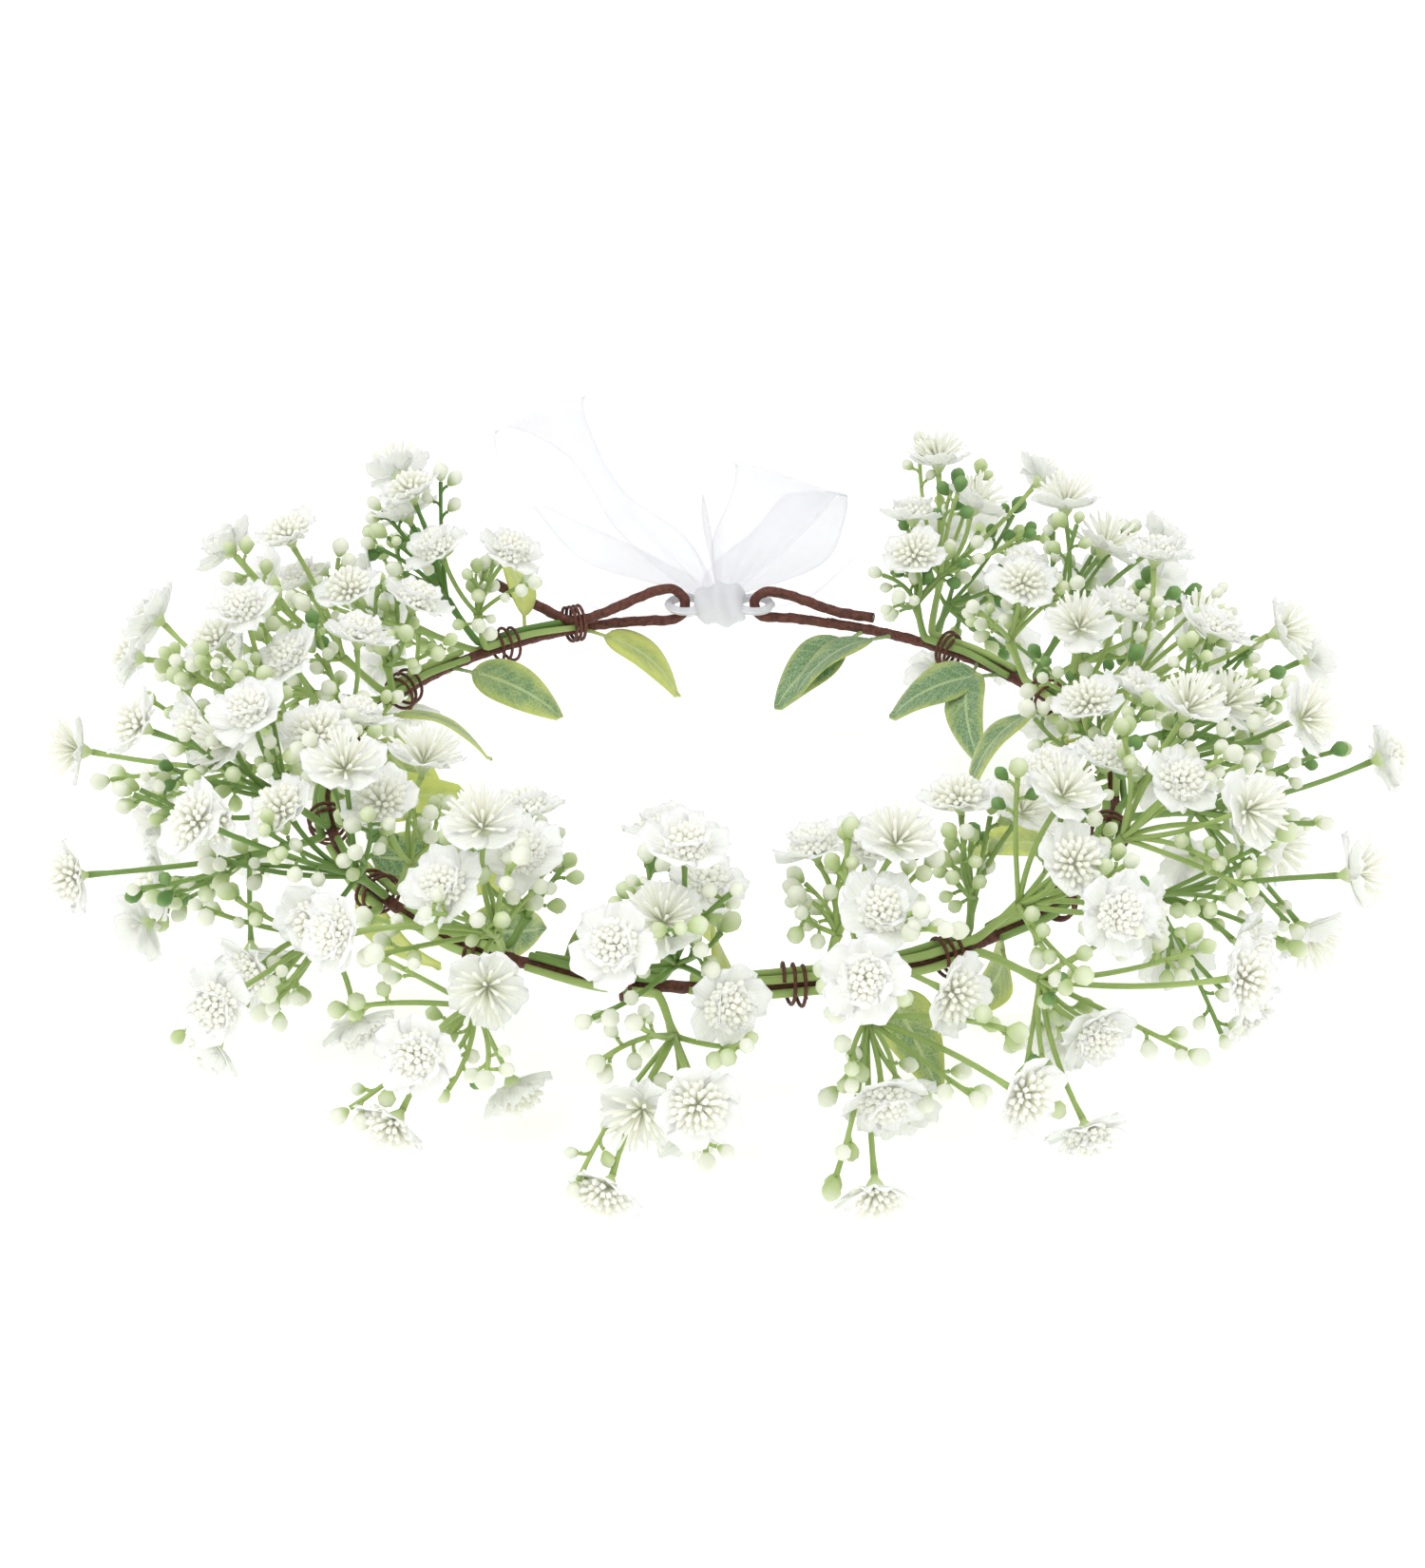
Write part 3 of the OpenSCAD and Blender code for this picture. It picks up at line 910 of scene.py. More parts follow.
@dataclass
class WireFrame:
    """The ring and its eyes, wound with paper tape, and the thin wire that binds on the bunches."""

    lap: float = 5.2
    sides: int = 14
    step: float = 0.8
    pieces: list[bpy.types.Object] = field(default_factory=list)

    def taped(self, name: str, route: Sequence[Array], kind: float) -> bpy.types.Object:
        """Winds tape along a route.

        Args:
            name: The piece's name.
            route: The wire's middle, in millimetres.
            kind: A number that shifts the winding.

        Returns:
            The taped wire, with a raised lap that runs round it in a spiral.
        """
        pts = even_steps(route, self.step)
        n = len(pts)
        s = self.step * np.arange(n)[:, None]
        a = np.arange(self.sides)[None, :] / self.sides
        lap = (s / self.lap + a + kind) % 1.0
        lumps = 0.06 * np.sin(1.7 * s + 9 * a) + 0.05 * np.sin(0.61 * s + 3)
        radii = RULE.tape_r - 0.12 + 0.2 * lap**3 + lumps * 0.7
        pile = Pile(name)
        pile.add(sweep(pts, radii, self.sides))
        return pile.build()

    def bindings(self) -> bpy.types.Object:
        """Winds the thin wire round every bunch's stems and round the left eye's crossing."""
        pile = Pile("binding_turns")
        around_r = RULE.hug + RULE.stem_r + 0.55
        for k in range(1, RULE.bunches + 1):
            mid = RULE.bunch_deg(k) - 5.8
            pts = []
            for i in range(66):
                t = i / 65
                grip = 1 - 0.12 * math.cos(math.tau * t * 3.1 + k)
                ang = 360 * 2.6 * t + 140 * noise(k, 7)
                deg = mid + (t - 0.5) * (2.6 + 1.6 * noise(k, 8))
                pts.append(RULE.by_wire(deg, around_r * grip, ang))
            pile.add(sweep(pts, np.full(len(pts), 0.42), 7, noise(k, 9)))
        pts = []
        for i in range(80):
            t = i / 79
            hub = RULE.by_wire(113.0 + 2.4 * t, 1.5, 80)
            ang = math.radians(360 * 3.2 * t)
            pts.append(hub + 4.5 * (math.cos(ang) * flat_dir(114) + math.sin(ang) * vec(0, 0, 1)))
        pile.add(sweep(pts, np.full(len(pts), 0.45), 7, 0.5))
        return pile.build()

    def build(self, frame: dict, tape: bpy.types.Material, steel: bpy.types.Material) -> None:
        """Makes and dresses every piece of the wire frame.

        Args:
            frame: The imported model.
            tape: Finish of the paper tape.
            steel: Finish of the bare wire.
        """
        ring = [RULE.by_wire(a, 0, 0) for a in np.arange(RULE.left_end, RULE.right_end + 0.1, 1)]
        cut_end = vec(-59, 95, RULE.wire_z + 8)
        left = eye_route(-1, RULE.left_end, RULE.left_eye_r, RULE.by_wire(116, 3.2, 80), cut_end)
        right = eye_route(
            1, RULE.right_end, RULE.right_eye_r, RULE.by_wire(69, 3.2, 80), RULE.by_wire(64.5, 3.4, 80)
        )
        parts = {
            "ring_tape": self.taped("taped_ring", ring, 0.0),
            "left_eye_tape": self.taped("taped_left_eye", left, 0.3),
            "right_eye_tape": self.taped("taped_right_eye", right, 0.7),
            "binding_wire": self.bindings(),
        }
        for node, piece in parts.items():
            piece.data.materials.append(tape)
            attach(piece, "crown")
            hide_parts(node)
            self.pieces.append(piece)
            log.info("%s stands for %s", piece.name, node)
        core = frame["nodes"]["frame_wire"]
        core.data.materials.clear()
        core.data.materials.append(steel)


# ----------------------------------------------------------------------------- flowers and stems


class Heart(Enum):
    """The kinds of heart that a flower has."""

    POMPOM = "pompom"
    FRINGE = "fringe"
    BURST = "burst"


@dataclass
class FlowerPress:
    """Makes the master shapes that every flower, bud and stamen is copied from, in millimetres."""

    petal_len: float = 8.9
    petal_w: float = 8.6
    petal_t: float = 0.22

    def petal(self, ruffle: float, lift: float) -> Shape:
        """One ruffled petal along +X, its claw at the middle of the flower.

        Args:
            ruffle: Height of the waves along its rim.
            lift: How far the rim rises.

        Returns:
            The petal, closed and thin.
        """
        obj = Bench.start(bpy.ops.mesh.primitive_grid_add, x_subdivisions=6, y_subdivisions=7, size=1)
        bpy.ops.mesh.select_all(action="SELECT")
        Bench.resize(self.petal_len, self.petal_w, 1)
        bpy.ops.transform.translate(value=(self.petal_len / 2, 0, 0))

        def outline(p: Array) -> Array:
            """Rounds the sheet to a petal and lifts and ruffles its rim."""
            t, v = p[0] / self.petal_len, 2 * p[1] / self.petal_w
            wide = 0.2 + 0.8 * math.sin(math.pi * min(1, 0.06 + 0.58 * t))
            x = self.petal_len * (t - 0.2 * t * v * v + 0.04 * t * math.sin(5.5 * v + 1))
            y = p[1] * wide
            z = lift * t**1.6 - 0.9 * t * v * v * 0.5
            z += ruffle * t * t * math.sin(7.2 * v + 2.0) + 0.35 * ruffle * t * math.sin(11 * v)
            return vec(x, y, z)

        Bench.shape_points(outline)
        Bench.done()
        Bench.solid(obj, self.petal_t)
        shape = Shape.from_object(obj, lambda v: v[:, 0] / self.petal_len)
        shape.tint[:, 2] = np.clip(shape.verts[:, 1] / self.petal_w + 0.5, 0, 1)
        return shape

    def filament(self) -> Shape:
        """One stamen, 1 long along +Z and swollen a little at its end."""
        obj = Bench.start(
            bpy.ops.mesh.primitive_cylinder_add, vertices=4, radius=0.055, depth=0.55, location=(0, 0, 0.275)
        )
        Bench.pick(lambda c: c.z > 0.5)
        bpy.ops.mesh.extrude_region_move(TRANSFORM_OT_translate={"value": (0, 0, 0.35)})
        Bench.resize(1.45, 1.45, 1, (0, 0, 0.9))
        bpy.ops.mesh.extrude_region_move(TRANSFORM_OT_translate={"value": (0, 0, 0.1)})
        Bench.resize(0.45, 0.45, 1, (0, 0, 1))
        Bench.done()
        return Shape.from_object(obj, lambda v: v[:, 2])

    def bud(self) -> Shape:
        """One bud on +Z, its stalk's end at the origin: a short calyx, a round belly and a blunt tip."""
        r = RULE.bud_r
        obj = Bench.start(
            bpy.ops.mesh.primitive_uv_sphere_add, segments=8, ring_count=6, radius=r, location=(0, 0, 3.1)
        )
        bpy.ops.mesh.select_all(action="SELECT")
        Bench.resize(1, 1, 1.22, (0, 0, 3.1))
        Bench.pick(lambda c: c.z < 2.2)
        Bench.resize(0.82, 0.82, 1, (0, 0, 0))
        Bench.pick(lambda c: c.z < 1.4)
        Bench.resize(0.85, 0.85, 1.15, (0, 0, 1.4))
        Bench.pick(lambda c: c.z > 4.6)
        Bench.resize(0.8, 0.8, 1, (0, 0, 0))
        Bench.done()
        return Shape.from_object(obj, lambda v: v[:, 2] / 5.8)

    def calyx(self) -> Shape:
        """The green cup behind a flower, on +Z."""
        obj = Bench.start(
            bpy.ops.mesh.primitive_cylinder_add, vertices=9, radius=0.75, depth=0.8, location=(0, 0, 0.4)
        )
        Bench.pick(lambda c: c.z > 0.5)
        for rise, grow in ((0.9, 1.9), (1.1, 1.45), (0.5, 1.05)):
            bpy.ops.mesh.extrude_region_move(TRANSFORM_OT_translate={"value": (0, 0, rise)})
            Bench.resize(grow, grow, 1)
        Bench.done()
        return Shape.from_object(obj, lambda v: v[:, 2] / 3.3)


@dataclass
class Sprays:
    """The fourteen bunches: stems with buds, petals and hearts, each a piece that covers its node."""

    press: FlowerPress = field(default_factory=FlowerPress)
    count: int = 0

    def make_masters(self) -> None:
        """Presses the master shapes."""
        p = self.press
        self.petals = [p.petal(0.5, 2.0), p.petal(0.7, 1.0), p.petal(0.4, 3.0)]
        self.filament = p.filament()
        self.bud = p.bud()
        self.calyx = p.calyx()

    def heart_kind(self, k: int, i: int) -> Heart:
        """Which heart flower i of bunch k has."""
        n = noise(k, 500 + i)
        return Heart.POMPOM if n < 0.45 else Heart.FRINGE if n < 0.75 else Heart.BURST

    def stem_points(self, p: Array, q: Array, bow: Array, n: int) -> list[Array]:
        """A stem from p to q that bows a little to one side."""
        ts = np.linspace(0, 1, n)
        return [p + (q - p) * t + bow * (4 * t * (1 - t)) for t in ts]

    def bow_of(self, k: int, seed: int, along: Array, size: float) -> Array:
        """A steady sideways bow for a stem."""
        up = unit(np.cross(along, vec(0.3, 0.2, 1)))
        turn = math.tau * noise(k, seed)
        return size * (math.cos(turn) * up + math.sin(turn) * np.cross(along, up))

    def stems(self, k: int) -> bpy.types.Object:
        """The stems, twigs and buds of bunch k.

        Args:
            k: The bunch, from 1.

        Returns:
            The piece.
        """
        pile = Pile(f"gypsophila_{k:02d}")
        for j in range(3):
            shade = noise(k, 700 + j)
            tied = RULE.by_wire(RULE.bunch_deg(k) - 9, RULE.hug, RULE.sprig_psi[j])
            leaves = RULE.by_wire(RULE.bunch_deg(k) - 2, RULE.hug, RULE.sprig_psi[j])
            fork = RULE.fork(k, j)
            way = unit(leaves - tied)
            end = RULE.by_wire(RULE.bunch_deg(k) - 19.5, RULE.hug - 0.2, RULE.sprig_psi[j] + 22)
            main = [end, *curve(end, 4 * unit(tied - end), 4 * way, tied, 5)]
            main += curve(tied, 1.5 * way, 1.2 * way, leaves, 4)
            main += curve(leaves, 1.6 * way, 5 * unit(fork - leaves), fork, 7)
            stations = [0, 5, 9, 14, len(main) - 1]
            thick = np.interp(np.arange(len(main)), stations, [0.8, 0.95, 1.0, 0.85, 1.25])
            pile.add(sweep(main, thick, 8, shade))
            for i in range(RULE.twigs[j]):
                self.twig(pile, k, j, i, fork, RULE.twig_point(k, j, i), shade)
            for n, fill in enumerate(RULE.fill_twigs):
                if fill[0] == j:
                    self.twig(pile, k, j, 4 + n, fork, RULE.fill_twig_point(k, n), shade)
            for i, f in enumerate(RULE.flowers):
                if f[0] != j:
                    continue
                head, facing = RULE.flower_point(k, i), RULE.flower_dir(k, i)
                pts = self.stem_points(fork, head, self.bow_of(k, 760 + i, facing, 1.6), 9)
                pile.add(sweep(pts, np.interp(np.arange(9), [0, 1, 7, 8], [0.9, 0.62, 0.6, 0.8]), 6, shade))
                pile.add(self.calyx.placed(seat(head - 0.4 * facing, facing, 40 * i), shade, 0.6))
        return pile.build()

    def twig(self, pile: Pile, k: int, j: int, i: int, fork: Array, tip: Array, shade: float) -> None:
        """Adds a twig with its buds to a pile.

        Args:
            pile: The pile that takes it.
            k: The bunch.
            j: The sprig.
            i: The twig's number on its sprig.
            fork: Where it starts.
            tip: Where its last bud sits.
            shade: How deep its green is.
        """
        along = unit(tip - fork)
        n = 10
        pts = self.stem_points(fork, tip, self.bow_of(k, 720 + 10 * j + i, along, 1.5), n)
        pile.add(sweep(pts, np.interp(np.arange(n), [0, 1, 7, n - 1], [0.8, 0.6, 0.52, 0.62]), 6, shade))
        mood = noise(k, 800 + 4 * j + i)
        kind = 0.3 if mood < 0.52 else 0.6 if mood < 0.82 else 0.9
        end = unit(pts[-1] - pts[-2])
        self.add_bud(pile, tip, end, k, 900 + 40 * j + 4 * i, kind, 1.0)
        for s in (0, 1, 2):
            start = tip - (3 + 3.5 * s) * along
            t = 1 - (3 + 3.5 * s) / float(np.linalg.norm(tip - fork))
            start = start + self.bow_of(k, 720 + 10 * j + i, along, 1.5) * (4 * t * (1 - t))
            d = RULE.side_bud_dir(k, j, i, s, along)
            stalk = self.stem_points(start, start + 2.5 * d, 0.35 * along, 4)
            pile.add(sweep(stalk, vec(0.5, 0.4, 0.38, 0.5), 5, shade))
            self.add_bud(pile, start + 2.4 * d, d, k, 901 + 40 * j + 4 * i + s, kind, 0.92)

    def add_bud(
        self, pile: Pile, at: Array, facing: Array, k: int, seed: int, kind: float, size: float
    ) -> None:
        """Adds one bud, now and then of a neighbour's colour."""
        other = noise(k, seed)
        kind = 0.3 if other > 0.86 else 0.6 if other < 0.12 else kind
        grow = size * (0.66 + 0.34 * noise(k, seed + 0.5))
        pile.add(self.bud.placed(seat(at, facing, 360 * other, grow), other, kind))

    def petals_of(self, k: int) -> bpy.types.Object:
        """The petals of every flower of bunch k."""
        pile = Pile(f"petals_{k:02d}")
        for i in range(len(RULE.flowers)):
            at, facing = RULE.flower_point(k, i), RULE.flower_dir(k, i)
            kind = self.heart_kind(k, i)
            grow = 0.96 + 0.1 * noise(k, 520 + i)
            layers = [(2.4, 1.0, 4)] if kind is not Heart.POMPOM else [(2.2, 1.0, 2), (2.8, 0.74, 30)]
            for n, (rise, size, tilt) in enumerate(layers):
                for p in range(5):
                    seed = 540 + 20 * i + 6 * n + p
                    lean = math.radians(tilt + around(0, 7, k, seed))
                    turn = 72 * p + 36 * n + around(0, 7, k, seed + 0.3)
                    c, s = math.cos(lean), math.sin(lean)
                    tip_up = np.array([[c, 0, -s], [0, 1, 0], [s, 0, c]])
                    base = seat(at + rise * facing, facing, 360 * noise(k, 530 + i) + turn, grow * size)
                    m = np.column_stack([base[:, :3] @ tip_up, base[:, 3]])
                    pile.add(self.petals[int(3 * noise(k, seed + 0.7)) % 3].placed(m, noise(k, seed)))
        return pile.build()

    def hearts_of(self, k: int) -> bpy.types.Object:
        """The stamens of every flower of bunch k."""
        pile = Pile(f"stamens_{k:02d}")
        for i in range(len(RULE.flowers)):
            at, facing = RULE.flower_point(k, i), RULE.flower_dir(k, i)
            kind = self.heart_kind(k, i)
            count, spread, length, thick = {
                Heart.POMPOM: (80, 84, 4.6, 2.3),
                Heart.FRINGE: (60, 82, 5.4, 2.0),
                Heart.BURST: (34, 64, 8.2, 1.3),
            }[kind]
            seat_m = seat(at + 3.0 * facing, facing, 360 * noise(k, 530 + i))
            for n in range(count):
                lean = spread * math.sqrt((n + 0.4) / count) * around(1, 0.06, k, 600 + n)
                turn = 137.5 * n
                ray = vec(
                    math.sin(math.radians(lean)) * math.cos(math.radians(turn)),
                    math.sin(math.radians(lean)) * math.sin(math.radians(turn)),
                    math.cos(math.radians(lean)),
                )
                way = seat_m[:, :3] @ ray
                long = length * around(1, 0.13, k * 7 + i, 640 + n)
                m = seat(seat_m[:, 3] + 0.6 * way, way, 50 * n)
                m[:, :2] *= 4.4 * thick
                m[:, 2] *= long
                pile.add(self.filament.placed(m, noise(k, 680 + n)))
        return pile.build()

    def build(self, stem: bpy.types.Material, petal: bpy.types.Material, stamen: bpy.types.Material) -> None:
        """Makes and dresses every bunch.

        Args:
            stem: Finish of stems and buds.
            petal: Finish of petals.
            stamen: Finish of the hearts.
        """
        self.make_masters()
        for k in range(1, RULE.bunches + 1):
            made = [
                (self.stems(k), stem, f"gypsophila_stems_{k}", "stem_plastic"),
                (self.petals_of(k), petal, f"petal_rosettes_{k}", "petal_plastic"),
                (self.hearts_of(k), stamen, f"stamen_tufts_{k}", "stamen_plastic"),
            ]
            for piece, finish, node, slot in made:
                piece.data.materials.append(finish)
                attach(piece, "crown")
                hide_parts(node)
                self.count += 1
            lo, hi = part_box(f"petal_rosettes_{k}")
            at = RULE.flower_point(k, 0) * MM
            if any(not lo[c] - 0.01 <= at[c] <= hi[c] + 0.01 for c in range(3)):
                log.warning("bunch %d is not where its CAD node is", k)
        log.info("%d pieces in %d bunches", self.count, RULE.bunches)


# ----------------------------------------------------------------------------- leaves


@dataclass(frozen=True)
class Leaf:
    """One leaf: its pick, place round the ring and round the wire, lean, turn, and how lime it is."""

    pick: int
    deg: float
    psi: float
    lean: float
    turn: float
    lime: float


LEAVES: tuple[Leaf, ...] = (
    Leaf(1, 112.3, 205, -1.5, 10, 0.75),
    Leaf(1, 123, 60, -0.3, 60, 0.9),
    Leaf(1, 138, 186, -0.5, 30, 0.35),
    Leaf(2, 158, 182, -0.6, -15, 0.5),
    Leaf(2, 162, 205, 0.5, 35, 0.6),
    Leaf(2, 182, 178, 0.5, 80, 0.9),
    Leaf(3, 203, 182, 0.6, 70, 0.2),
    Leaf(3, 206, 262, 0.7, 85, 0.95),
    Leaf(3, 224, 178, -0.5, -60, 0.9),
    Leaf(3, 228, 196, 0.6, 70, 0.3),
    Leaf(4, 246, 180, 0.5, 80, 0.2),
    Leaf(4, 268, 178, 0.3, 70, 0.95),
    Leaf(4, 291, 262, 0.6, -60, 0.4),
    Leaf(4, 311, 256, 0.5, 60, 0.45),
    Leaf(5, 334, 178, 0.5, 60, 0.7),
    Leaf(5, 356, 180, 0.6, 30, 0.25),
    Leaf(5, 361, 192, -0.4, -40, 0.3),
    Leaf(5, 374, 178, -0.3, 50, 0.7),
    Leaf(6, 386, 190, 0, 20, 0.3),
    Leaf(6, 399, 184, 0.7, -20, 0.15),
    Leaf(6, 404, 190, -0.5, 40, 0.2),
    Leaf(6, 421, 180, 0.9, 10, 0.15),
    Leaf(6, 426, 205, 0.8, -25, 0.1),
)


@dataclass
class LeafPicks:
    """The six picks of flocked cloth leaves."""

    curl_r: float = 26.0
    thickness: float = 0.35

    def blade(self) -> Shape:
        """One blade from its stalk along +X, folded a little along its rib and curled over."""
        length, width = RULE.leaf_len, RULE.leaf_w
        obj = Bench.start(bpy.ops.mesh.primitive_grid_add, x_subdivisions=18, y_subdivisions=10, size=1)
        bpy.ops.mesh.select_all(action="SELECT")
        Bench.resize(length, width, 1)
        bpy.ops.transform.translate(value=(length / 2, 0, 0))

        def outline(p: Array) -> Array:
            """Gives the sheet the leaf's outline, fold, curl and waved edge."""
            u, v = p[0] / length, 2 * p[1] / width
            t = 2 * u - 1
            half = width / 2 * max(0.0, 1 - t * t) ** 0.7 * (1 - 0.25 * t) + 0.12
            x = p[0]
            z = math.sqrt(max(self.curl_r**2 - min(x, 21.9) ** 2, 0)) - self.curl_r
            z += 0.9 * abs(v) * half / 6 - 0.35 * abs(v) ** 3 + 0.3 * math.sin(9 * u + 2 * v) * abs(v)
            return vec(x, half * v, z)

        Bench.shape_points(outline)
        Bench.done()
        Bench.solid(obj, self.thickness)
        shape = Shape.from_object(obj, lambda q: q[:, 0] / length)
        t = 2 * np.clip(shape.verts[:, 0] / length, 0, 1) - 1
        half = width / 2 * np.maximum(1 - t * t, 0) ** 0.7 * (1 - 0.25 * t) + 0.12
        shape.tint[:, 2] = np.clip(shape.verts[:, 1] / half / 2 + 0.5, 0, 1)
        return shape

    def pick(self, n: int, blade: Shape) -> bpy.types.Object:
        """Pick n, with every leaf in its place."""
        pile = Pile(f"leaves_{n}")
        for m, leaf in enumerate(LEAVES):
            if leaf.pick != n:
                continue
            start = RULE.by_wire(leaf.deg, RULE.tape_r - 0.3, leaf.psi)
            out = unit(RULE.by_wire(leaf.deg, 2, leaf.psi) - RULE.by_wire(leaf.deg, 1, leaf.psi))
            way = unit(out + leaf.lean * flat_dir(leaf.deg + 90))
            base = RULE.by_wire(leaf.deg, RULE.tape_r + 0.05, leaf.psi) + 5 * way
            z = way
            az = math.atan2(z[1], z[0])
            tilt = math.acos(max(-1.0, min(1.0, z[2])))
            turn = Matrix.Rotation(az, 3, "Z") @ Matrix.Rotation(tilt, 3, "Y")
            turn = turn @ Matrix.Rotation(math.radians(leaf.turn), 3, "Z")
            stand = turn @ Matrix.Rotation(math.radians(-90), 3, "Y")
            at = base + np.array(turn @ Vector((0, 0, -0.4)))
            m34 = np.column_stack([np.array(stand), at])
            pile.add(blade.placed(m34, noise(m, 3), leaf.lime))
            pts = [start + (base + 1.5 * way - start) * t for t in np.linspace(0, 1, 6)]
            pile.add(sweep(pts, vec(0.65, 0.5, 0.45, 0.45, 0.45, 0.3), 6, noise(m, 3), leaf.lime))
        return pile.build()

    def build(self, finish: bpy.types.Material) -> None:
        """Makes and dresses every pick."""
        blade = self.blade()
        for n in range(1, RULE.picks + 1):
            piece = self.pick(n, blade)
            piece.data.materials.append(finish)
            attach(piece, "crown")
            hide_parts(f"leaf_pick_{n}")
            log.info("%s has its leaves", piece.name)


# ----------------------------------------------------------------------------- ribbon


@dataclass
class RibbonBow:
    """The organza bow: a knot linked through both eyes, two loops and two tails."""

    root_d: float = 8.4
    flare: float = 27.0

    def from_knot(self, az: float, pitch: float) -> tuple[Array, Array, Array, Array]:
        """The root of a ribbon piece and its directions outward, across and up."""
        a, p = math.radians(az), math.radians(pitch)
        out = vec(math.cos(a) * math.cos(p), math.sin(a) * math.cos(p), math.sin(p))
        across = vec(-math.sin(a), math.cos(a), 0)
        up = np.cross(out, across)
        return RULE.knot_at + self.root_d * out, out, across, up

    def half_width(self, x: float) -> float:
        """Half the ribbon's spread at a distance from its root."""
        t = min(max(x / self.flare, 0), 1)
        return 2.4 + (RULE.ribbon_w / 2 - 2.4) * math.sin(math.pi / 2 * t) ** 0.8

    def loop(self, name: str, az: float, pitch: float, length: float, opening: float, seed: float) -> Shape:
        """A loop of ribbon, gathered at the knot and open beyond it.

        Args:
            name: The piece's name, for the log.
            az: Its direction seen from above.
            pitch: How steeply it rises.
            length: From its root to its far end.
            opening: Its greatest height, edge-on.
            seed: Sets its own folds.

        Returns:
            The open sheet, in millimetres.
        """
        root, out, across, up = self.from_knot(az, pitch)
        rows, cols = 96, 29
        grid = np.zeros((rows, cols, 3))
        for r in range(rows):
            t = 360 * r / (rows - 1)
            fold = min(t, 360 - t)
            x = length * (1 - math.cos(math.radians(fold))) / 2
            z = opening / 2 * math.sin(math.radians(fold)) * max(math.sin(math.radians(fold / 2)), 0) ** 0.8
            z = (-z if t > 180 else z) * 0.96
            gather = 1 - min(x / (0.8 * length), 1)
            side = -1 if t > 180 else 1
            for c in range(cols):
                v = 2 * c / (cols - 1) - 1
                half = self.half_width(x)
                pleat = 1.1 * gather**1.2 * math.cos(8.5 * v + seed) + 0.5 * math.sin(3.1 * v + x / 9 + seed)
                pleat += 0.9 * math.sin(x / 7.5 + 2.2 * v * side + seed) * (1 - gather)
                lean = 1.5 * v * (1 - gather) * math.sin(seed)
                edge = 1.0 - 0.03 * math.sin(x / 6 + seed) * abs(v)
                grid[r, c] = (
                    root
                    + out * (x - 3.4 * gather**6 - 0.9)
                    + across * (v * half * edge)
                    + up * (z + side * pleat * min(1.0, x / 6 + 0.15) + lean)
                )
        log.info("%s is %.0f mm long", name, length)
        return cloth(grid)

    def tail(self, az: float, length: float, cut: float, seed: float) -> Shape:
        """A tail of ribbon that falls from the knot and lies out behind.

        Args:
            az: Its direction seen from above.
            length: From its root to its end.
            cut: How far the slanting end leans.
            seed: Sets its own folds.

        Returns:
            The open sheet, in millimetres.
        """
        root, _, _, _ = self.from_knot(az, -25)
        _, out, across, up = self.from_knot(az, 0)
        rows, cols = 80, 25
        grid = np.zeros((rows, cols, 3))
        for r in range(rows):
            for c in range(cols):
                v = 2 * c / (cols - 1) - 1
                x = (length + cut * v) * r / (rows - 1)
                drop = -0.47 * x * math.exp(-x / 18) - 0.05 * x
                drop += 1.5 * math.sin(math.radians(5 * x)) * min(1, x / 30)
                gather = 1 - min(x / 45, 1)
                pleat = 1.0 * gather**1.2 * math.cos(8.5 * v + seed) * min(1, x / 6 + 0.2)
                wave = math.sin(2.6 * v + x / 14 + seed) + 0.7 * math.sin(x / 9 - 2 * v)
                wave *= 1 - gather
                side = across * (v * self.half_width(x))
                grid[r, c] = root + out * (x - 3.2 * gather**6) + side + up * (drop + pleat + wave)
        return cloth(grid)

    def knot(self) -> Shape:
        """The knot: a gathered band over the middle, with folds that run round it."""
        rows, cols = 44, 57
        grid = np.zeros((rows, cols, 3))
        for r in range(rows):
            s = r / (rows - 1)
            x = 6.4 * (2 * s - 1)
            belly = 3.0 + 2.7 * max(math.cos(math.pi * (s - 0.5)), 0) ** 0.6
            for c in range(cols):
                a = math.tau * c / (cols - 1)
                fold = 0.42 * math.sin(15 * s + 1.4 * math.sin(a)) + 0.3 * math.sin(2 * a + 7 * s)
                rad = belly + fold
                skew = 0.4 * math.sin(2 * a)
                grid[r, c] = RULE.knot_at + vec(x + skew, rad * math.cos(a), rad * math.sin(a))
        return cloth(grid, 0.6)

    def strap(self, side: int) -> Shape:
        """The gathered ribbon linked round the tip of one eye, with folds along it."""
        rows, cols = 61, 19
        grid = np.zeros((rows, cols, 3))
        middle = RULE.knot_at + vec(side * RULE.eye_gap, 0, 0)
        for r in range(rows):
            t = math.tau * r / (rows - 1)
            ring = vec(math.cos(t), math.sin(t), 0)
            for c in range(cols):
                a = math.tau * c / (cols - 1)
                rad = 1.0 + 0.16 * math.cos(5 * a + 0.8 * math.sin(2 * t))
                grid[r, c] = middle + ring * (4.3 + rad * math.cos(a)) + vec(0, 0, rad * math.sin(a))
        return cloth(grid, 0.6)

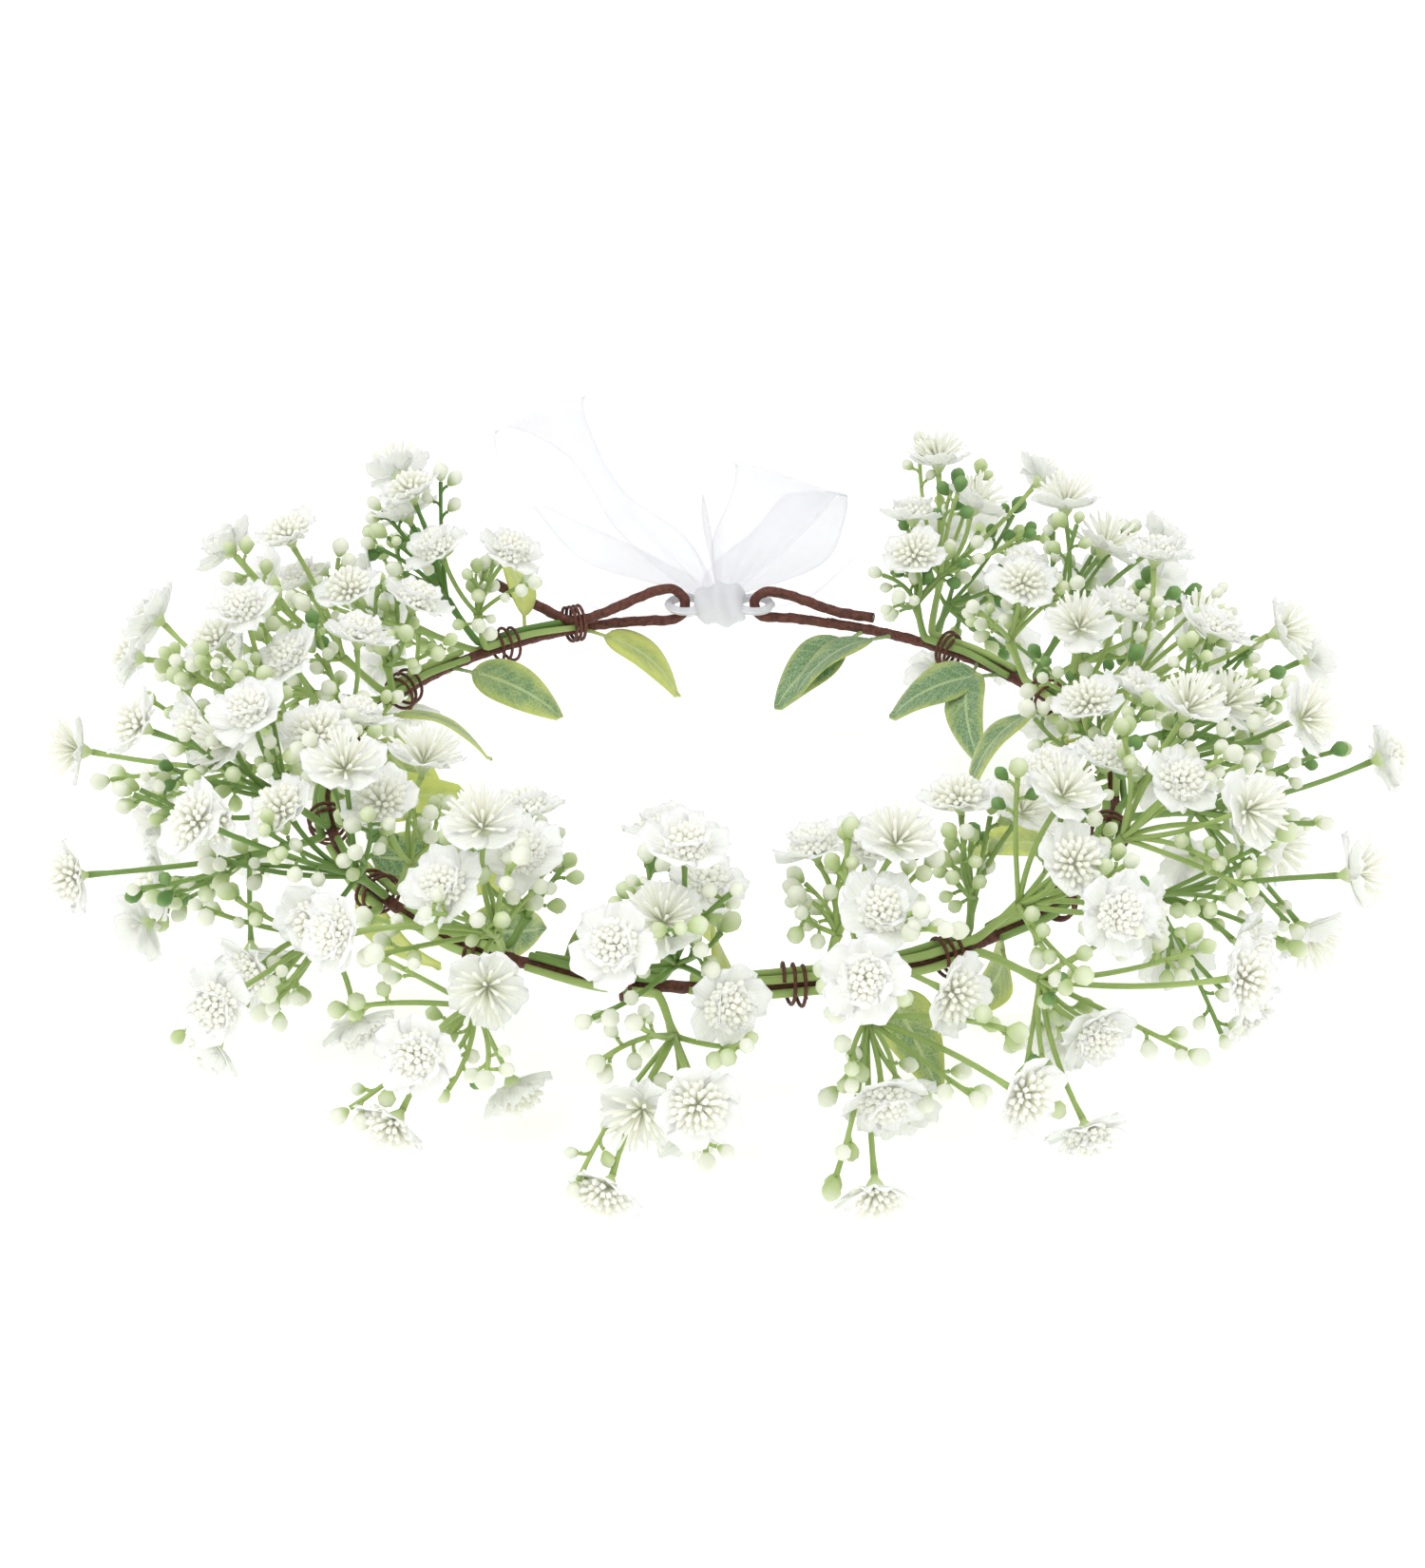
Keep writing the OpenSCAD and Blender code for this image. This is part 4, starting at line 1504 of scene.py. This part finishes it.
    def build(self, finish: bpy.types.Material) -> None:
        """Makes and dresses the five pieces of the ribbon.

        Args:
            finish: The organza.
        """
        knot = Pile("ribbon_knot_cloth")
        for shape in (self.knot(), self.strap(-1), self.strap(1)):
            knot.add(shape)
        short = RULE.tail_len - 8
        loops = (self.loop("left loop", 139, 30, 66, 28, 0.6), self.loop("right loop", 62, 26, 38, 18, 2.1))
        tails = (self.tail(130, RULE.tail_len, 8, 0.3), self.tail(68, short, -7, 1.7))
        made = [
            (knot, "bow", "ribbon_knot", None, None),
            (Pile("ribbon_loop_left"), "left_loop", "ribbon_left_loop", loops[0], 145),
            (Pile("ribbon_loop_right"), "right_loop", "ribbon_right_loop", loops[1], 85),
            (Pile("ribbon_tail_left"), "left_tail", "ribbon_left_tail", tails[0], RULE.tail_len),
            (Pile("ribbon_tail_right"), "right_tail", "ribbon_right_tail", tails[1], short),
        ]
        for pile, body, node, shape, ribbon in made:
            if shape is not None:
                pile.add(shape)
            piece = pile.build()
            piece.data.materials.append(finish)
            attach(piece, body)
            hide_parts(node)


# ----------------------------------------------------------------------------- studio


@dataclass
class Studio:
    """Camera, floor and soft light."""

    elevation: float = 28.1
    distance: float = 0.700
    lens: float = 68.4
    look_at: tuple[float, float] = (-0.0019, -0.0018)

    def camera(self) -> None:
        """Stands the camera in front of the crown, looking down on it."""
        data = bpy.data.cameras.new("camera")
        data.lens, data.sensor_width = self.lens, 36
        cam = bpy.data.objects.new("camera", data)
        bpy.context.scene.collection.objects.link(cam)
        e = math.radians(self.elevation)
        target = Vector((*self.look_at, RULE.wire_z * MM))
        back = Vector((0, -math.cos(e), math.sin(e)))
        cam.location = target + back * self.distance
        cam.rotation_mode = "QUATERNION"
        cam.rotation_quaternion = (-back).to_track_quat("-Z", "Y")
        data.clip_start, data.clip_end = 0.01, 20
        bpy.context.scene.camera = cam

    def floor(self) -> None:
        """Lays a plain pale floor."""
        me = bpy.data.meshes.new("floor")
        s = 4.0
        me.from_pydata([(-s, -s, 0), (s, -s, 0), (s, s, 0), (-s, s, 0)], [], [(0, 1, 2, 3)])
        obj = bpy.data.objects.new("floor", me)
        bpy.context.scene.collection.objects.link(obj)
        w = Wire("floor")
        pale = w.ramp(w.noise(3.0), [(0.3, (0.92, 0.92, 0.92)), (0.7, (0.94, 0.94, 0.94))])
        w.link(pale, w.shader.inputs["Base Color"])
        w.set(Roughness=0.9, Emission_Color=(1, 1, 1, 1), Emission_Strength=0.42)
        me.materials.append(w.mat)

    def lamp(self, name: str, at: tuple[float, float, float], size: float, watts: float) -> None:
        """Hangs a soft square light that faces the crown."""
        data = bpy.data.lights.new(name, "AREA")
        data.size, data.energy = size, watts
        obj = bpy.data.objects.new(name, data)
        bpy.context.scene.collection.objects.link(obj)
        obj.location = at
        obj.rotation_mode = "QUATERNION"
        obj.rotation_quaternion = (Vector((0, 0, 0.03)) - Vector(at)).to_track_quat("-Z", "Y")

    def build(self) -> None:
        """Sets the whole studio."""
        self.camera()
        self.floor()
        self.lamp("key", (-0.5, -0.5, 1.3), 1.0, 7.5)
        self.lamp("fill", (0.9, -0.2, 0.9), 1.2, 3)
        world = bpy.data.worlds.new("studio")
        world.use_nodes = True
        world.node_tree.nodes["Background"].inputs["Color"].default_value = (1, 1, 1, 1)
        world.node_tree.nodes["Background"].inputs["Strength"].default_value = 0.72
        bpy.context.scene.world = world
        bpy.context.scene.view_settings.view_transform = "Standard"


def main() -> None:
    logging.basicConfig(level=logging.INFO, format="%(name)s: %(message)s")
    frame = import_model()
    Studio().build()
    mottle = mottle_group()
    WireFrame().build(frame, TapeFinish().build(), SteelFinish().build())
    Sprays().build(StemFinish().build(mottle), PetalFinish().build(mottle), StamenFinish().build(mottle))
    LeafPicks().build(LeafFinish().build(mottle))
    RibbonBow().build(OrganzaFinish().build())


if __name__ == "__main__":
    main()
